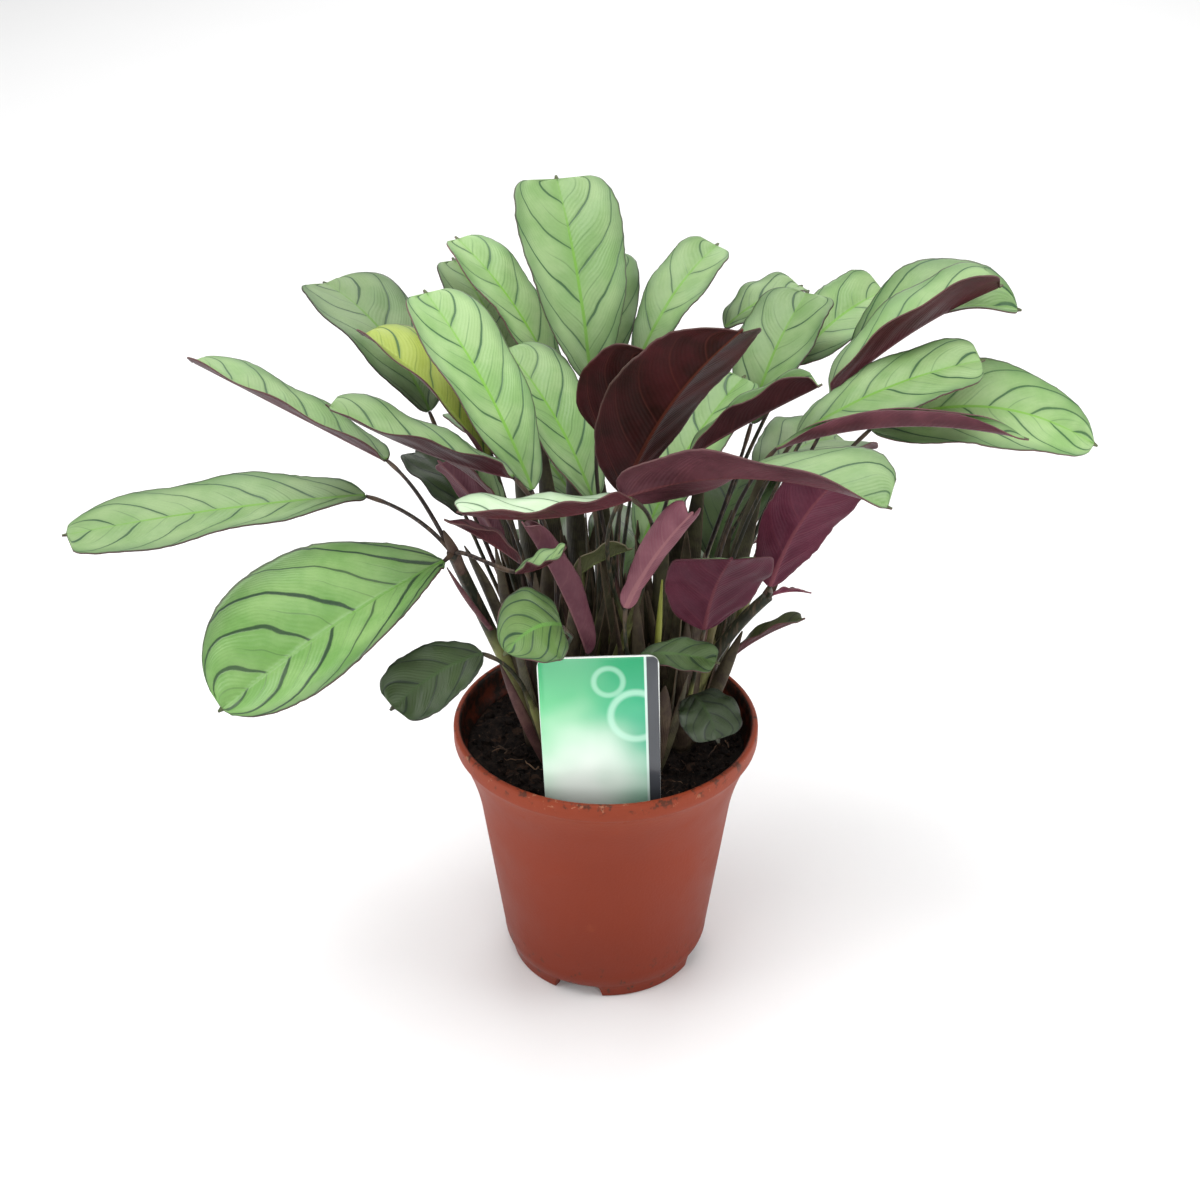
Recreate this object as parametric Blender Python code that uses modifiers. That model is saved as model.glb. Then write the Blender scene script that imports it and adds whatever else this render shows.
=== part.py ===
"""Fishbone prayer plant in its nursery pot.

A turned plastic pot with drainage holes, a plug of peat soil, seven leafy shoots that stand in
holes in the soil, their leaf blades and a plain care card on a stake.
Metres, +Z up. The origin is the centre of the pot's foot on the resting surface, and +Y points
to the back of the plant. The tables below are in millimetres and degrees.
"""

import math

import bmesh
import bpy
from mathutils import Vector

MM = 0.001
FIT_GAP = 0.3  # clearance between pieces that touch

# Pot: a 12 cm pot with a soft flare under its lip.
LIP_RADIUS = 60.5
LIP_ROUND = 1.6
LIP_STEP = 1.2
POT_HEIGHT = 111.0
LIP_HEIGHT = 7.5
NECK_RADIUS = 50.5
NECK_HEIGHT = 74.0
FLARE_BEND = 1.85  # above 1 the wall turns outward late, close under the lip
FOOT_RADIUS = 39.3
FOOT_CORNER = 13.2
HEEL_RADIUS = 42.5
WALL = 1.4
WALL_HEIGHTS = (96.0, 91.0, 85.0, 79.0, NECK_HEIGHT, 44.0, 15.0)
INNER_HEEL_HEIGHT = 9.0
FLOOR_HEIGHT = 6.0
FLOOR_CORNER = 2.5
FOOT_RING = 4.0
POT_STEPS = 48
CENTRE_HOLE = 5.0
DRAIN_HOLES = 8
DRAIN_HOLE_RADIUS = 3.5
DRAIN_CIRCLE = 24.0
NOTCHES = 4
NOTCH_WIDTH = 20.0
NOTCH_REACH = 14.0
NOTCH_HEIGHT = 5.5
NOTCH_START = -107.0  # heading of the first notch, a little left of the front

# Soil plug.
SOIL_LEVEL = 98.0
SOIL_LUMP = 1.2
SOIL_LEVEL_EDGE = 4.0  # the lumps fade out this close to the wall
SOIL_RINGS = 6
SOIL_STEPS = 32

# Care card on its stake.
CARD_WIDTH = 45.0
CARD_HEIGHT = 64.0
CARD_CORNER = 4.0
CARD_THICKNESS = 0.8
CARD_TAPER = 0.7
STAKE_WIDTH = 14.0
STAKE_LENGTH = 16.0
STAKE_POINT = 6.0
STAKE_SHOULDER = 2.0
CARD_FOOT = (-1.0, -46.5, 99.0)
CARD_LEAN_BACK = 8.0
CARD_LEAN_LEFT = 2.0

# Leaf blades and stalks.
BLADE_ROWS = 9
BLADE_COLUMNS = 5
SMALL_LEAF = 30.0
SMALL_ROWS = 7
BLADE_THICKNESS = 0.75
MIDRIB_THICKNESS = 1.3
NECK_HALF_WIDTH = 1.2
TIP_POINT = 2.5
TIP_HALF_WIDTH = 0.4
MARGIN_WAVE = 1.0
MARGIN_WAVES = 2.5
FLAT_HALF_WIDTH = 1.0  # a blade this narrow lies flat, and folds fully once it is FOLD_EASE wider
FOLD_EASE = 5.0
STALK_FOOT_RADIUS = 1.7
STALK_NECK_RADIUS = 1.0
STALK_POINTS = 8
STALK_GAP = 0.6
STALK_END_PULL = 0.3
MOST_SPREAD = 0.6
STALK_STRAIGHTENS = 0.35
STALK_START = 100.0
STALK_OFFSET = 1.5  # stalks leave their crown this far off its axis
CANE_FOOT_RADIUS = 2.9
CANE_TOP_RADIUS = 2.2
CANE_STALK_RADIUS = 1.3
CANE_OVERLAP = 2.0
CANE_POINTS = 7
CROWN_DEPTH = 78.0
CROWN_TOP = 104.0
CROWN_FOOT_RADIUS = 5.5
CROWN_TOP_RADIUS = 4.0
HOLE_RADIUS = 6.2
HOLE_LENGTH = 40.0

# Where each shoot's crown stands in the pot, seen from above.
CROWNS = {
    "shoot_left_front": (-20, -14),
    "shoot_left_back": (-22, 12),
    "shoot_middle": (-5, -2),
    "shoot_back": (2, 20),
    "shoot_right_back": (18, 8),
    "shoot_right": (30, -2),
    "shoot_right_front": (18, -18),
}

# A cane is a bare stem that carries several leaves at its top: its shoot and the points it passes.
CANES = {
    "left_cane": ("shoot_left_front", ((-20, -14, 100), (-42, -14, 155), (-55, -33, 203))),
    "right_cane": ("shoot_right", ((30, -2, 100), (40, -4, 138), (61, -10, 172))),
}

# Each leaf: what it grows from, where its blade starts and ends, the blade's width, how far its
# midrib bows, its roll, how steeply its left and right halves fold up at the base, then at the tip.
LEAVES = {
    "leaf_left_1": ("left_cane", (-88, -10, 214), (-188, -44, 216), 36, 2, 8, (22, 22), (-8, -5)),
    "leaf_left_2": ("left_cane", (-82, 10, 219), (-158, 45, 244), 30, 0, 0, (44, 0), (36, 4)),
    "leaf_left_3": ("left_cane", (-58, -38, 202), (-128, -98, 179), 54, 3, 39, (52, 0), (30, 3)),
    "leaf_left_4": ("left_cane", (-32, -42, 200), (-15, -46, 211), 14, -2, 0, (60, 70), (0, 0)),
    "young_leaf_left": ("shoot_left_front", (-31, -26, 195), (-56, -32, 215), 11, 1, 0, (66, 45), (66, 45)),
    "leaf_front_1": ("shoot_left_front", (-45, -45, 168), (-75, -68, 160), 24, 3, 35, (5, 5), (5, 5)),
    "leaf_front_2": ("shoot_left_front", (-16, -62, 190), (-34, -80, 190), 29, 4, 40, (5, 5), (5, 5)),
    "leaf_left_5": ("shoot_left_front", (-33, -25, 229), (-97, -18, 253), 31, -3, 0, (60, 14), (20, 14)),
    "leaf_left_6": ("shoot_left_back", (-38, -12, 211), (-67, -8, 232), 17, 3, 20, (58, 40), (58, 40)),
    "leaf_left_7": ("shoot_left_back", (-54, 16, 193), (-73, 38, 209), 25, 4, 0, (10, 10), (10, 10)),
    "leaf_left_8": ("shoot_left_back", (-40, 9, 183), (-61, 3, 221), 13, 2, -50, (15, 15), (15, 15)),
    "leaf_left_9": ("shoot_left_back", (-45, 14, 217), (-91, 40, 257), 36, 5, 0, (42, 10), (34, 10)),
    "rolled_leaf_front": ("shoot_left_front", (-7, -26, 157), (-29, -35, 215), 17, 2, 0, (58, 58), (58, 58)),
    "leaf_left_10": ("shoot_left_back", (-69, 48, 222), (-112, 90, 259), 40, 8, 0, (12, 12), (12, 12)),
    "leaf_middle_1": ("shoot_middle", (-27, -15, 219), (-66, 30, 277), 33, 5, 0, (10, 10), (10, 10)),
    "leaf_middle_2": ("shoot_middle", (-5, 10, 202), (-38, 45, 249), 34, 5, 0, (14, 14), (14, 14)),
    "leaf_middle_3": ("shoot_middle", (-19, 52, 231), (-58, 85, 279), 27, 5, 0, (12, 12), (12, 12)),
    "leaf_middle_4": ("shoot_middle", (-31, 63, 219), (-61, 100, 265), 30, 4, 0, (12, 12), (12, 12)),
    "leaf_top_1": ("shoot_back", (-6, 45, 236), (-19, 85, 303), 42, 6, 0, (10, 10), (10, 10)),
    "leaf_top_2": ("shoot_back", (-3, 68, 225), (0, 104, 267), 30, 4, 0, (10, 10), (10, 10)),
    "leaf_top_3": ("shoot_back", (13, 60, 238), (44, 95, 273), 24, 5, -10, (12, 12), (12, 12)),
    "leaf_top_4": ("shoot_back", (6, -18, 219), (43, -49, 293), 38, 5, 48, (32, 8), (34, 8)),
    "leaf_top_5": ("shoot_right_back", (-3, 8, 232), (18, -5, 266), 33, 2, 60, (8, 8), (8, 8)),
    "leaf_front_3": ("shoot_middle", (8, -52, 234), (-47, -82, 244), 27, -4, -12, (46, 22), (12, 20)),
    "leaf_right_1": ("shoot_right_back", (6, -36, 227), (92, -72, 241), 41, 9, 6, (-50, 52), (46, 26)),
    "leaf_right_2": ("shoot_right_back", (14, 14, 181), (53, 50, 235), 34, 6, 0, (12, 12), (12, 12)),
    "leaf_right_3": ("shoot_right_back", (30, 0, 225), (76, 0, 253), 19, 1, 0, (70, 75), (70, 75)),
    "leaf_right_4": ("shoot_right_back", (57, 48, 217), (79, 76, 260), 34, 5, 0, (12, 12), (12, 12)),
    "leaf_right_5": ("shoot_right_back", (48, 80, 244), (78, 95, 256), 25, 3, 0, (12, 12), (12, 12)),
    "leaf_right_6": ("shoot_right_back", (75, 72, 232), (113, 100, 252), 29, 4, -24, (12, 12), (12, 12)),
    "leaf_right_7": ("shoot_right", (97, 61, 231), (157, 53, 262), 46, 12, -25, (4, 46), (14, 44)),
    "leaf_right_8": ("shoot_right", (85, 30, 237), (146, 40, 276), 40, 4, 0, (20, 52), (20, 46)),
    "leaf_right_9": ("shoot_right", (71, 10, 229), (136, 12, 258), 31, 4, -25, (-5, 12), (-5, 12)),
    "leaf_right_10": ("shoot_right", (102, 34, 221), (184, 20, 221), 40, 12, -32, (10, 10), (10, 10)),
    "rolled_leaf_right": ("shoot_right", (62, -5, 231), (146, -25, 244), 14, 7, 0, (70, 85), (70, 85)),
    "leaf_right_11": ("right_cane", (60, -25, 185), (82, -48, 243), 28, 4, 45, (8, 8), (8, 8)),
    "young_leaf_right": ("right_cane", (63, -10, 173), (75, -14, 176), 7, 1, 30, (30, 30), (30, 30)),
    "rolled_leaf_middle": ("shoot_right_front", (7, -39, 184), (28, -62, 233), 21, 2, 50, (54, 54), (54, 54)),
    "young_leaf_middle": ("shoot_middle", (-15, -18, 181), (8, -16, 195), 12, 2, 50, (30, 30), (30, 30)),
    "leaf_front_4": ("shoot_right", (36, -29, 169), (43, -51, 210), 38, 3, 10, (5, 5), (5, 5)),
    "leaf_front_5": ("shoot_right", (47, 10, 130), (75, -2, 157), 10, 2, 0, (50, 40), (50, 40)),
    "leaf_front_6": ("shoot_right_front", (13, -30, 158), (40, -38, 160), 14, 2, -25, (10, 5), (10, 5)),
    "leaf_front_7": ("shoot_right_front", (33, -31, 141), (41, -48, 133), 23, 3, -10, (5, 5), (5, 5)),
    "leaf_back_1": ("shoot_back", (-13, 54, 181), (-58, 98, 200), 44, 8, 0, (12, 12), (12, 12)),
    "leaf_back_2": ("shoot_back", (14, 60, 198), (34, 100, 193), 43, 8, 0, (10, 10), (10, 10)),
    "leaf_back_3": ("shoot_right_back", (63, 56, 188), (103, 95, 186), 42, 8, 0, (12, 12), (12, 12)),
    "leaf_back_4": ("shoot_back", (6, 55, 140), (20, 100, 150), 44, 7, 0, (10, 10), (10, 10)),
    "leaf_back_5": ("shoot_back", (-14, 54, 158), (-42, 96, 141), 42, 6, 0, (10, 10), (10, 10)),
    "leaf_back_6": ("shoot_right_back", (44, 45, 158), (60, 74, 187), 34, 5, 0, (8, 8), (8, 8)),
    "leaf_back_7": ("shoot_right_back", (36, 60, 148), (54, 100, 136), 34, 5, 0, (12, 12), (12, 12)),
}

# Departures from a plain leaf: twist along the blade, how full its base is, how blunt its tip is,
# how far the tip leans to one side, how much wider its right half is, how far its stalk runs up
# before it bends, and the share of the stalk's slope that it has where it leaves the crown.
PLAIN = {
    "twist": 0.0,
    "full": 0.5,
    "blunt": 0.23,
    "lean": 0.05,
    "bias": 0.0,
    "upright": 0.4,
    "spread": 0.5,
}
SHAPES = {
    "leaf_left_1": {"twist": -10},
    "leaf_left_2": {"full": 0.38},
    "leaf_left_3": {"twist": 14, "full": 0.7, "blunt": 0.5, "lean": -0.05, "bias": 0.17},
    "young_leaf_left": {"blunt": 0.6},
    "leaf_front_2": {"full": 0.4, "blunt": 0.55, "upright": 0.9, "spread": 0.28},
    "rolled_leaf_front": {"full": 0.4, "blunt": 0.3},
    "leaf_top_1": {"full": 0.55, "blunt": 0.17},
    "leaf_top_4": {"twist": -9, "full": 0.55, "blunt": 0.37, "lean": 0.5, "bias": 0.12},
    "leaf_top_5": {"blunt": 0.4},
    "leaf_right_1": {"twist": -10, "full": 0.4, "blunt": 0.26, "lean": 0.05},
    "leaf_right_4": {"lean": -0.3},
    "leaf_right_7": {"twist": -10, "full": 0.7, "blunt": 0.52, "lean": -0.25, "bias": -0.1},
    "leaf_right_10": {"blunt": 0.55, "lean": -0.2},
    "rolled_leaf_right": {"full": 0.6, "blunt": 0.6},
    "young_leaf_right": {"blunt": 0.7},
    "rolled_leaf_middle": {"full": 0.45},
    "leaf_front_7": {"full": 0.38},
    "leaf_back_2": {"blunt": 0.3},
}

GREEN = (0.33, 0.52, 0.25)
DARK_GREEN = (0.10, 0.20, 0.09)
OLIVE = (0.42, 0.45, 0.10)
PURPLE = (0.16, 0.04, 0.07)
PINK = (0.42, 0.12, 0.18)
BLADE_COLOURS = {
    "leaf_front_1": DARK_GREEN,
    "leaf_front_2": GREEN,
    "leaf_front_5": DARK_GREEN,
    "leaf_front_6": DARK_GREEN,
    "leaf_front_7": DARK_GREEN,
    "leaf_left_7": DARK_GREEN,
    "leaf_left_9": OLIVE,
    "young_leaf_middle": OLIVE,
    "leaf_left_8": PINK,
    "rolled_leaf_front": PINK,
    "rolled_leaf_middle": PINK,
    "leaf_right_3": PURPLE,
    "leaf_right_11": PURPLE,
    "leaf_front_4": PURPLE,
    "leaf_top_4": PURPLE,
    "leaf_top_5": PURPLE,
    "leaf_left_6": PURPLE,
    "rolled_leaf_right": PURPLE,
    "young_leaf_left": PURPLE,
    "young_leaf_right": PURPLE,
}
TERRACOTTA = (0.52, 0.12, 0.05)
PEAT = (0.025, 0.016, 0.011)
STALK_BROWN = (0.06, 0.035, 0.02)
CARD_GREEN = (0.10, 0.55, 0.22)


def clear_scene():
    for obj in list(bpy.data.objects):
        bpy.data.objects.remove(obj)


def new_collection(name):
    collection = bpy.data.collections.new(name)
    bpy.context.scene.collection.children.link(collection)
    return collection


def plain_material(name, colour, roughness):
    material = bpy.data.materials.new(name)
    material.use_nodes = True
    shader = material.node_tree.nodes["Principled BSDF"]
    shader.inputs["Base Color"].default_value = (*colour, 1.0)
    shader.inputs["Roughness"].default_value = roughness
    shader.inputs["Metallic"].default_value = 0.0
    return material


def add_object(name, data, collection, material=None):
    obj = bpy.data.objects.new(name, data)
    collection.objects.link(obj)
    if material:
        data.materials.clear()
        data.materials.append(material)
    return obj


def cutter_from_primitive(name, cutters):
    """Take the primitive just added out of the scene's own collection and make it a cutter."""
    obj = bpy.context.object
    obj.name = name
    for collection in list(obj.users_collection):
        collection.objects.unlink(obj)
    cutters.objects.link(obj)
    obj.hide_render = True
    obj.display_type = "WIRE"
    return obj


def cut(obj, collection):
    boolean = obj.modifiers.new("openings", "BOOLEAN")
    boolean.operation = "DIFFERENCE"
    boolean.solver = "EXACT"
    boolean.operand_type = "COLLECTION"
    boolean.collection = collection


def arc(centre, radius, start, end, steps):
    """Points of an arc in the profile plane, by angle in degrees."""
    angles = (math.radians(start + (end - start) * i / steps) for i in range(steps + 1))
    return [(centre[0] + radius * math.cos(a), centre[1] + radius * math.sin(a)) for a in angles]


# ---- pot


def taper(height):
    """Radius of the straight wall below the neck, carried on upward."""
    rise = (height - FOOT_CORNER) / (NECK_HEIGHT - FOOT_CORNER)
    return HEEL_RADIUS + (NECK_RADIUS - HEEL_RADIUS) * rise


def flare(height):
    """Radius of the outer wall: the straight taper, then a concave flare that ends under the lip."""
    lip_foot = POT_HEIGHT - LIP_HEIGHT
    spread = LIP_RADIUS - LIP_STEP - taper(lip_foot)
    rise = max(0.0, height - NECK_HEIGHT) / (lip_foot - NECK_HEIGHT)
    return taper(height) + spread * rise**FLARE_BEND


def pot_profile():
    """Closed section of the pot at +X, down its outer side and up its inner side."""
    lip_foot = POT_HEIGHT - LIP_HEIGHT
    profile = arc((LIP_RADIUS - LIP_ROUND, POT_HEIGHT - LIP_ROUND), LIP_ROUND, 90, 0, 2)
    profile += [(LIP_RADIUS, lip_foot + 0.8), (LIP_RADIUS - 0.8, lip_foot)]
    profile += [(flare(z), z) for z in (lip_foot - 0.4, *WALL_HEIGHTS)]
    profile += arc((HEEL_RADIUS - FOOT_CORNER, FOOT_CORNER), FOOT_CORNER, 0, -33, 4)
    ring = FOOT_RADIUS - FOOT_RING
    profile += [(FOOT_RADIUS, 0.0), (ring, 0.0), (ring - 1.0, FLOOR_HEIGHT)]
    profile += [(CENTRE_HOLE, FLOOR_HEIGHT), (CENTRE_HOLE, FLOOR_HEIGHT + WALL)]
    profile.append((HEEL_RADIUS - WALL - FLOOR_CORNER, FLOOR_HEIGHT + WALL))
    profile += [(flare(z) - WALL, z) for z in (INNER_HEEL_HEIGHT, *reversed(WALL_HEIGHTS))]
    profile += [(flare(lip_foot) - WALL, lip_foot), (LIP_RADIUS - 2.6, POT_HEIGHT - 0.5)]
    return profile


def turned_mesh(name, profile):
    """A closed section as a loop of edges at +X, in metres."""
    mesh = bpy.data.meshes.new(name)
    points = [(radius * MM, 0.0, height * MM) for radius, height in profile]
    edges = [(i, (i + 1) % len(points)) for i in range(len(points))]
    mesh.from_pydata(points, edges, [])
    return mesh


def make_pot(parts, cutters):
    pot = add_object(
        "pot", turned_mesh("pot", pot_profile()), parts, plain_material("pot", TERRACOTTA, 0.55)
    )
    screw = pot.modifiers.new("turn", "SCREW")
    screw.steps = POT_STEPS
    screw.render_steps = POT_STEPS
    screw.use_merge_vertices = True
    screw.merge_threshold = 0.00001
    for index in range(DRAIN_HOLES):
        heading = math.radians(360.0 * (index + 0.5) / DRAIN_HOLES)
        bpy.ops.mesh.primitive_cylinder_add(
            vertices=10,
            radius=DRAIN_HOLE_RADIUS * MM,
            depth=4 * WALL * MM,
            location=(
                DRAIN_CIRCLE * MM * math.cos(heading),
                DRAIN_CIRCLE * MM * math.sin(heading),
                (FLOOR_HEIGHT + WALL / 2) * MM,
            ),
        )
        cutter_from_primitive(f"drain_hole_{index + 1}", cutters)
    for index in range(NOTCHES):
        heading = math.radians(NOTCH_START + 360.0 * index / NOTCHES)
        reach = (FOOT_RADIUS - FOOT_RING / 2) * MM
        bpy.ops.mesh.primitive_cube_add(
            size=1.0,
            location=(reach * math.cos(heading), reach * math.sin(heading), 0.0),
            rotation=(0.0, 0.0, heading),
            scale=(NOTCH_REACH * MM, NOTCH_WIDTH * MM, 2 * NOTCH_HEIGHT * MM),
        )
        cutter_from_primitive(f"foot_notch_{index + 1}", cutters)
    cut(pot, cutters)
    return pot


# ---- soil


def soil_edge():
    """Radius of the plug of soil at its level."""
    return flare(SOIL_LEVEL) - WALL - FIT_GAP


def soil_lump(x, y):
    """Height of the loose surface above its level, in millimetres; it is level at the wall."""
    broad = math.sin(0.19 * x + 0.7) * math.cos(0.23 * y - 0.4)
    fine = math.sin(0.61 * x - 1.3) * math.sin(0.53 * y + 0.9)
    inside = min((soil_edge() - math.hypot(x, y)) / SOIL_LEVEL_EDGE, 1.0)
    return SOIL_LUMP * (0.7 * broad + 0.5 * fine) * inside


def soil_profile():
    """Half section of the plug of soil, from the top's middle out, down and back to the axis."""
    edge = soil_edge()
    top = [(edge * i / SOIL_RINGS, SOIL_LEVEL) for i in range(SOIL_RINGS + 1)]
    inner = WALL + FIT_GAP
    side = [(flare(z) - inner, z) for z in WALL_HEIGHTS]
    floor = FLOOR_HEIGHT + inner
    return top + side + [(HEEL_RADIUS - inner - FLOOR_CORNER, floor), (0.0, floor)]


def make_soil(parts, cutters):
    mesh = bpy.data.meshes.new("soil")
    profile = soil_profile()
    shape = bmesh.new()
    ring = [shape.verts.new((radius * MM, 0.0, height * MM)) for radius, height in profile]
    edges = [shape.edges.new(pair) for pair in zip(ring, ring[1:])]
    bmesh.ops.spin(
        shape,
        geom=ring + edges,
        axis=(0.0, 0.0, 1.0),
        cent=(0.0, 0.0, 0.0),
        angle=2 * math.pi,
        steps=SOIL_STEPS,
        use_merge=True,
    )
    bmesh.ops.remove_doubles(shape, verts=shape.verts, dist=0.00001)
    for vertex in shape.verts:
        if vertex.co.z > (SOIL_LEVEL - 0.1) * MM:
            vertex.co.z += soil_lump(vertex.co.x / MM, vertex.co.y / MM) * MM
    bmesh.ops.recalc_face_normals(shape, faces=shape.faces)
    bmesh.ops.triangulate(shape, faces=shape.faces)
    shape.to_mesh(mesh)
    shape.free()
    soil = add_object("soil", mesh, parts, plain_material("soil", PEAT, 0.95))
    for name, (x, y) in CROWNS.items():
        bpy.ops.mesh.primitive_cylinder_add(
            vertices=12,
            radius=HOLE_RADIUS * MM,
            depth=HOLE_LENGTH * MM,
            location=(x * MM, y * MM, (CROWN_DEPTH - FIT_GAP + HOLE_LENGTH / 2) * MM),
        )
        cutter_from_primitive(f"hole_{name}", cutters)
    slot = card_outline(grow=FIT_GAP, thickness=CARD_THICKNESS + 2 * FIT_GAP)
    slot_object = add_object("card_slot", slot, cutters)
    slot_object.hide_render = True
    slot_object.display_type = "WIRE"
    place_card(slot_object)
    cut(soil, cutters)
    return soil


# ---- care card


def card_corners(grow):
    """Outline of card and stake, from the stake's tip round, with its width grown all round."""
    half = CARD_WIDTH / 2 + grow
    stake = STAKE_WIDTH / 2 + grow
    corner = CARD_CORNER
    top = CARD_HEIGHT + grow
    right = [(0.0, -STAKE_LENGTH - grow), (stake, -STAKE_LENGTH + STAKE_POINT)]
    right += [(stake, -STAKE_SHOULDER - grow), (half - corner, -grow), (half - CARD_TAPER, corner)]
    right += arc((half - corner, top - corner), corner, 0, 90, 3)
    left = [(-x, z) for x, z in reversed(right[1:])]
    return right + left


def card_outline(grow=0.0, thickness=CARD_THICKNESS):
    """The flat card standing in its own XZ plane, as one closed sheet of the thickness given."""
    mesh = bpy.data.meshes.new("card")
    shape = bmesh.new()
    half = thickness / 2 * MM
    corners = [shape.verts.new((x * MM, -half, z * MM)) for x, z in card_corners(grow)]
    face = shape.faces.new(corners)
    raised = bmesh.ops.extrude_face_region(shape, geom=[face])["geom"]
    moved = [item for item in raised if isinstance(item, bmesh.types.BMVert)]
    bmesh.ops.translate(shape, verts=moved, vec=(0.0, 2 * half, 0.0))
    bmesh.ops.recalc_face_normals(shape, faces=shape.faces)
    shape.to_mesh(mesh)
    shape.free()
    return mesh


def place_card(obj):
    obj.location = Vector(CARD_FOOT) * MM
    obj.rotation_euler = (-math.radians(CARD_LEAN_BACK), -math.radians(CARD_LEAN_LEFT), 0.0)


def make_card(parts):
    material = plain_material("care_card", CARD_GREEN, 0.3)
    card = add_object("care_card", card_outline(), parts, material)
    place_card(card)
    return card


# ---- leaf blades


class Blade:
    """The bent surface of one leaf, from its row of the tables."""

    def __init__(self, name):
        row = LEAVES[name]
        self.source, base, tip, self.width, self.arch, self.roll = row[:6]
        self.fold_base, self.fold_tip = row[6:]
        self.shape = {**PLAIN, **SHAPES.get(name, {})}
        self.base, self.tip = Vector(base), Vector(tip)
        self.chord = self.tip - self.base
        along = self.chord.normalized()
        self.side = along.cross(Vector((0.0, 0.0, 1.0))).normalized()
        self.up = self.side.cross(along)

    def midrib(self, s):
        bow = 4 * s * (1 - s)
        return self.base + self.chord * s + self.up * (bow * self.arch)

    def tangent(self, s):
        return (self.midrib(min(s + 0.001, 1.0)) - self.midrib(max(s - 0.001, 0.0))).normalized()

    def half_width(self, s, hand):
        """Distance from midrib to margin; hand is 1 on the right half and -1 on the left."""
        full = self.shape["full"]
        blunt = self.shape["blunt"] * (1 + hand * self.shape["lean"])
        widest = full / (full + blunt)
        peak = widest**full * (1 - widest) ** blunt
        share = 0.5 * (1 + hand * self.shape["bias"])
        return max(0.9, share * self.width * s**full * (1 - s) ** blunt / peak)

    def point(self, s, across, half_width):
        """A point of the blade: s runs from 0 at the stalk to 1, across from -1 to 1."""
        hand = 1 if across > 0 else -1
        tangent = self.tangent(s)
        side = (self.side - tangent * tangent.dot(self.side)).normalized()
        normal = side.cross(tangent)
        roll = math.radians(self.roll + self.shape["twist"] * (s - 0.5))
        rolled_side = side * math.cos(roll) + normal * math.sin(roll)
        rolled_normal = normal * math.cos(roll) - side * math.sin(roll)
        half = 1 if hand > 0 else 0
        fold = self.fold_base[half] + (self.fold_tip[half] - self.fold_base[half]) * s
        fold *= min(max(half_width - FLAT_HALF_WIDTH, 0.0) / FOLD_EASE, 1.0)
        reach = half_width * abs(across)
        wave = math.sin(2 * math.pi * (MARGIN_WAVES * s + (0.25 if hand > 0 else 0.0)))
        lift = reach * math.sin(math.radians(fold))
        lift += MARGIN_WAVE * across**2 * wave * min(half_width / 8, 1.0)
        out = hand * reach * math.cos(math.radians(fold))
        return self.midrib(s) + rolled_side * out + rolled_normal * lift

    def row(self, s, columns, half_width=None):
        places = [2 * j / (columns - 1) - 1 for j in range(columns)]
        widths = [half_width or self.half_width(s, 1 if t > 0 else -1) for t in places]
        return [self.point(s, t, w) for t, w in zip(places, widths)]

    def rows(self, count, columns):
        """Rows of points, closer together near both ends, with the tip's fine point last."""
        rows = [self.row(0.0, columns, NECK_HALF_WIDTH)]
        for i in range(1, count - 1):
            even = i / (count - 2)
            rows.append(self.row((even + (1 - math.cos(math.pi * even)) / 2) / 2, columns))
        beyond = self.tangent(1.0) * TIP_POINT
        rows.append([p + beyond for p in self.row(1.0, columns, TIP_HALF_WIDTH)])
        return rows


def make_blade(name, parts):
    blade = Blade(name)
    small = blade.width < SMALL_LEAF and blade.chord.length < 2 * SMALL_LEAF
    count = SMALL_ROWS if small else BLADE_ROWS
    rows = blade.rows(count, BLADE_COLUMNS)
    shape = bmesh.new()
    bmesh.ops.create_grid(
        shape, x_segments=BLADE_COLUMNS - 1, y_segments=count - 1, size=0.5
    )
    rib_weight = shape.verts.layers.deform.verify()
    for vertex in shape.verts:
        column = round((vertex.co.x + 0.5) * (BLADE_COLUMNS - 1))
        row = round((vertex.co.y + 0.5) * (count - 1))
        vertex.co = rows[row][column] * MM
        on_rib = 2 * column == BLADE_COLUMNS - 1 and 0 < row < count - 1
        vertex[rib_weight][0] = 1.0 if on_rib else BLADE_THICKNESS / MIDRIB_THICKNESS
    bmesh.ops.triangulate(shape, faces=shape.faces, quad_method="FIXED")
    mesh = bpy.data.meshes.new(name)
    shape.to_mesh(mesh)
    shape.free()
    colour = BLADE_COLOURS.get(name, GREEN)
    leaf = add_object(name, mesh, parts, plain_material(name, colour, 0.45))
    leaf.vertex_groups.new(name="midrib")
    solidify = leaf.modifiers.new("thickness", "SOLIDIFY")
    solidify.thickness = MIDRIB_THICKNESS * MM
    solidify.offset = 0.0
    solidify.vertex_group = "midrib"
    return blade


# ---- stalks, canes and crowns


def bezier(points, steps):
    """Points along the cubic curve with these four control points."""
    a, b, c, d = points
    places = [i / steps for i in range(steps + 1)]
    return [
        a * (1 - t) ** 3 + b * 3 * (1 - t) ** 2 * t + c * 3 * (1 - t) * t**2 + d * t**3
        for t in places
    ]


def cane_path(name):
    """A smooth curve through the cane's three points."""
    start, middle, end = (Vector(point) for point in CANES[name][1])
    pull = middle * 2 - (start + end) / 2
    places = [i / (CANE_POINTS - 1) for i in range(CANE_POINTS)]
    return [start * (1 - t) ** 2 + pull * 2 * t * (1 - t) + end * t**2 for t in places]


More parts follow.
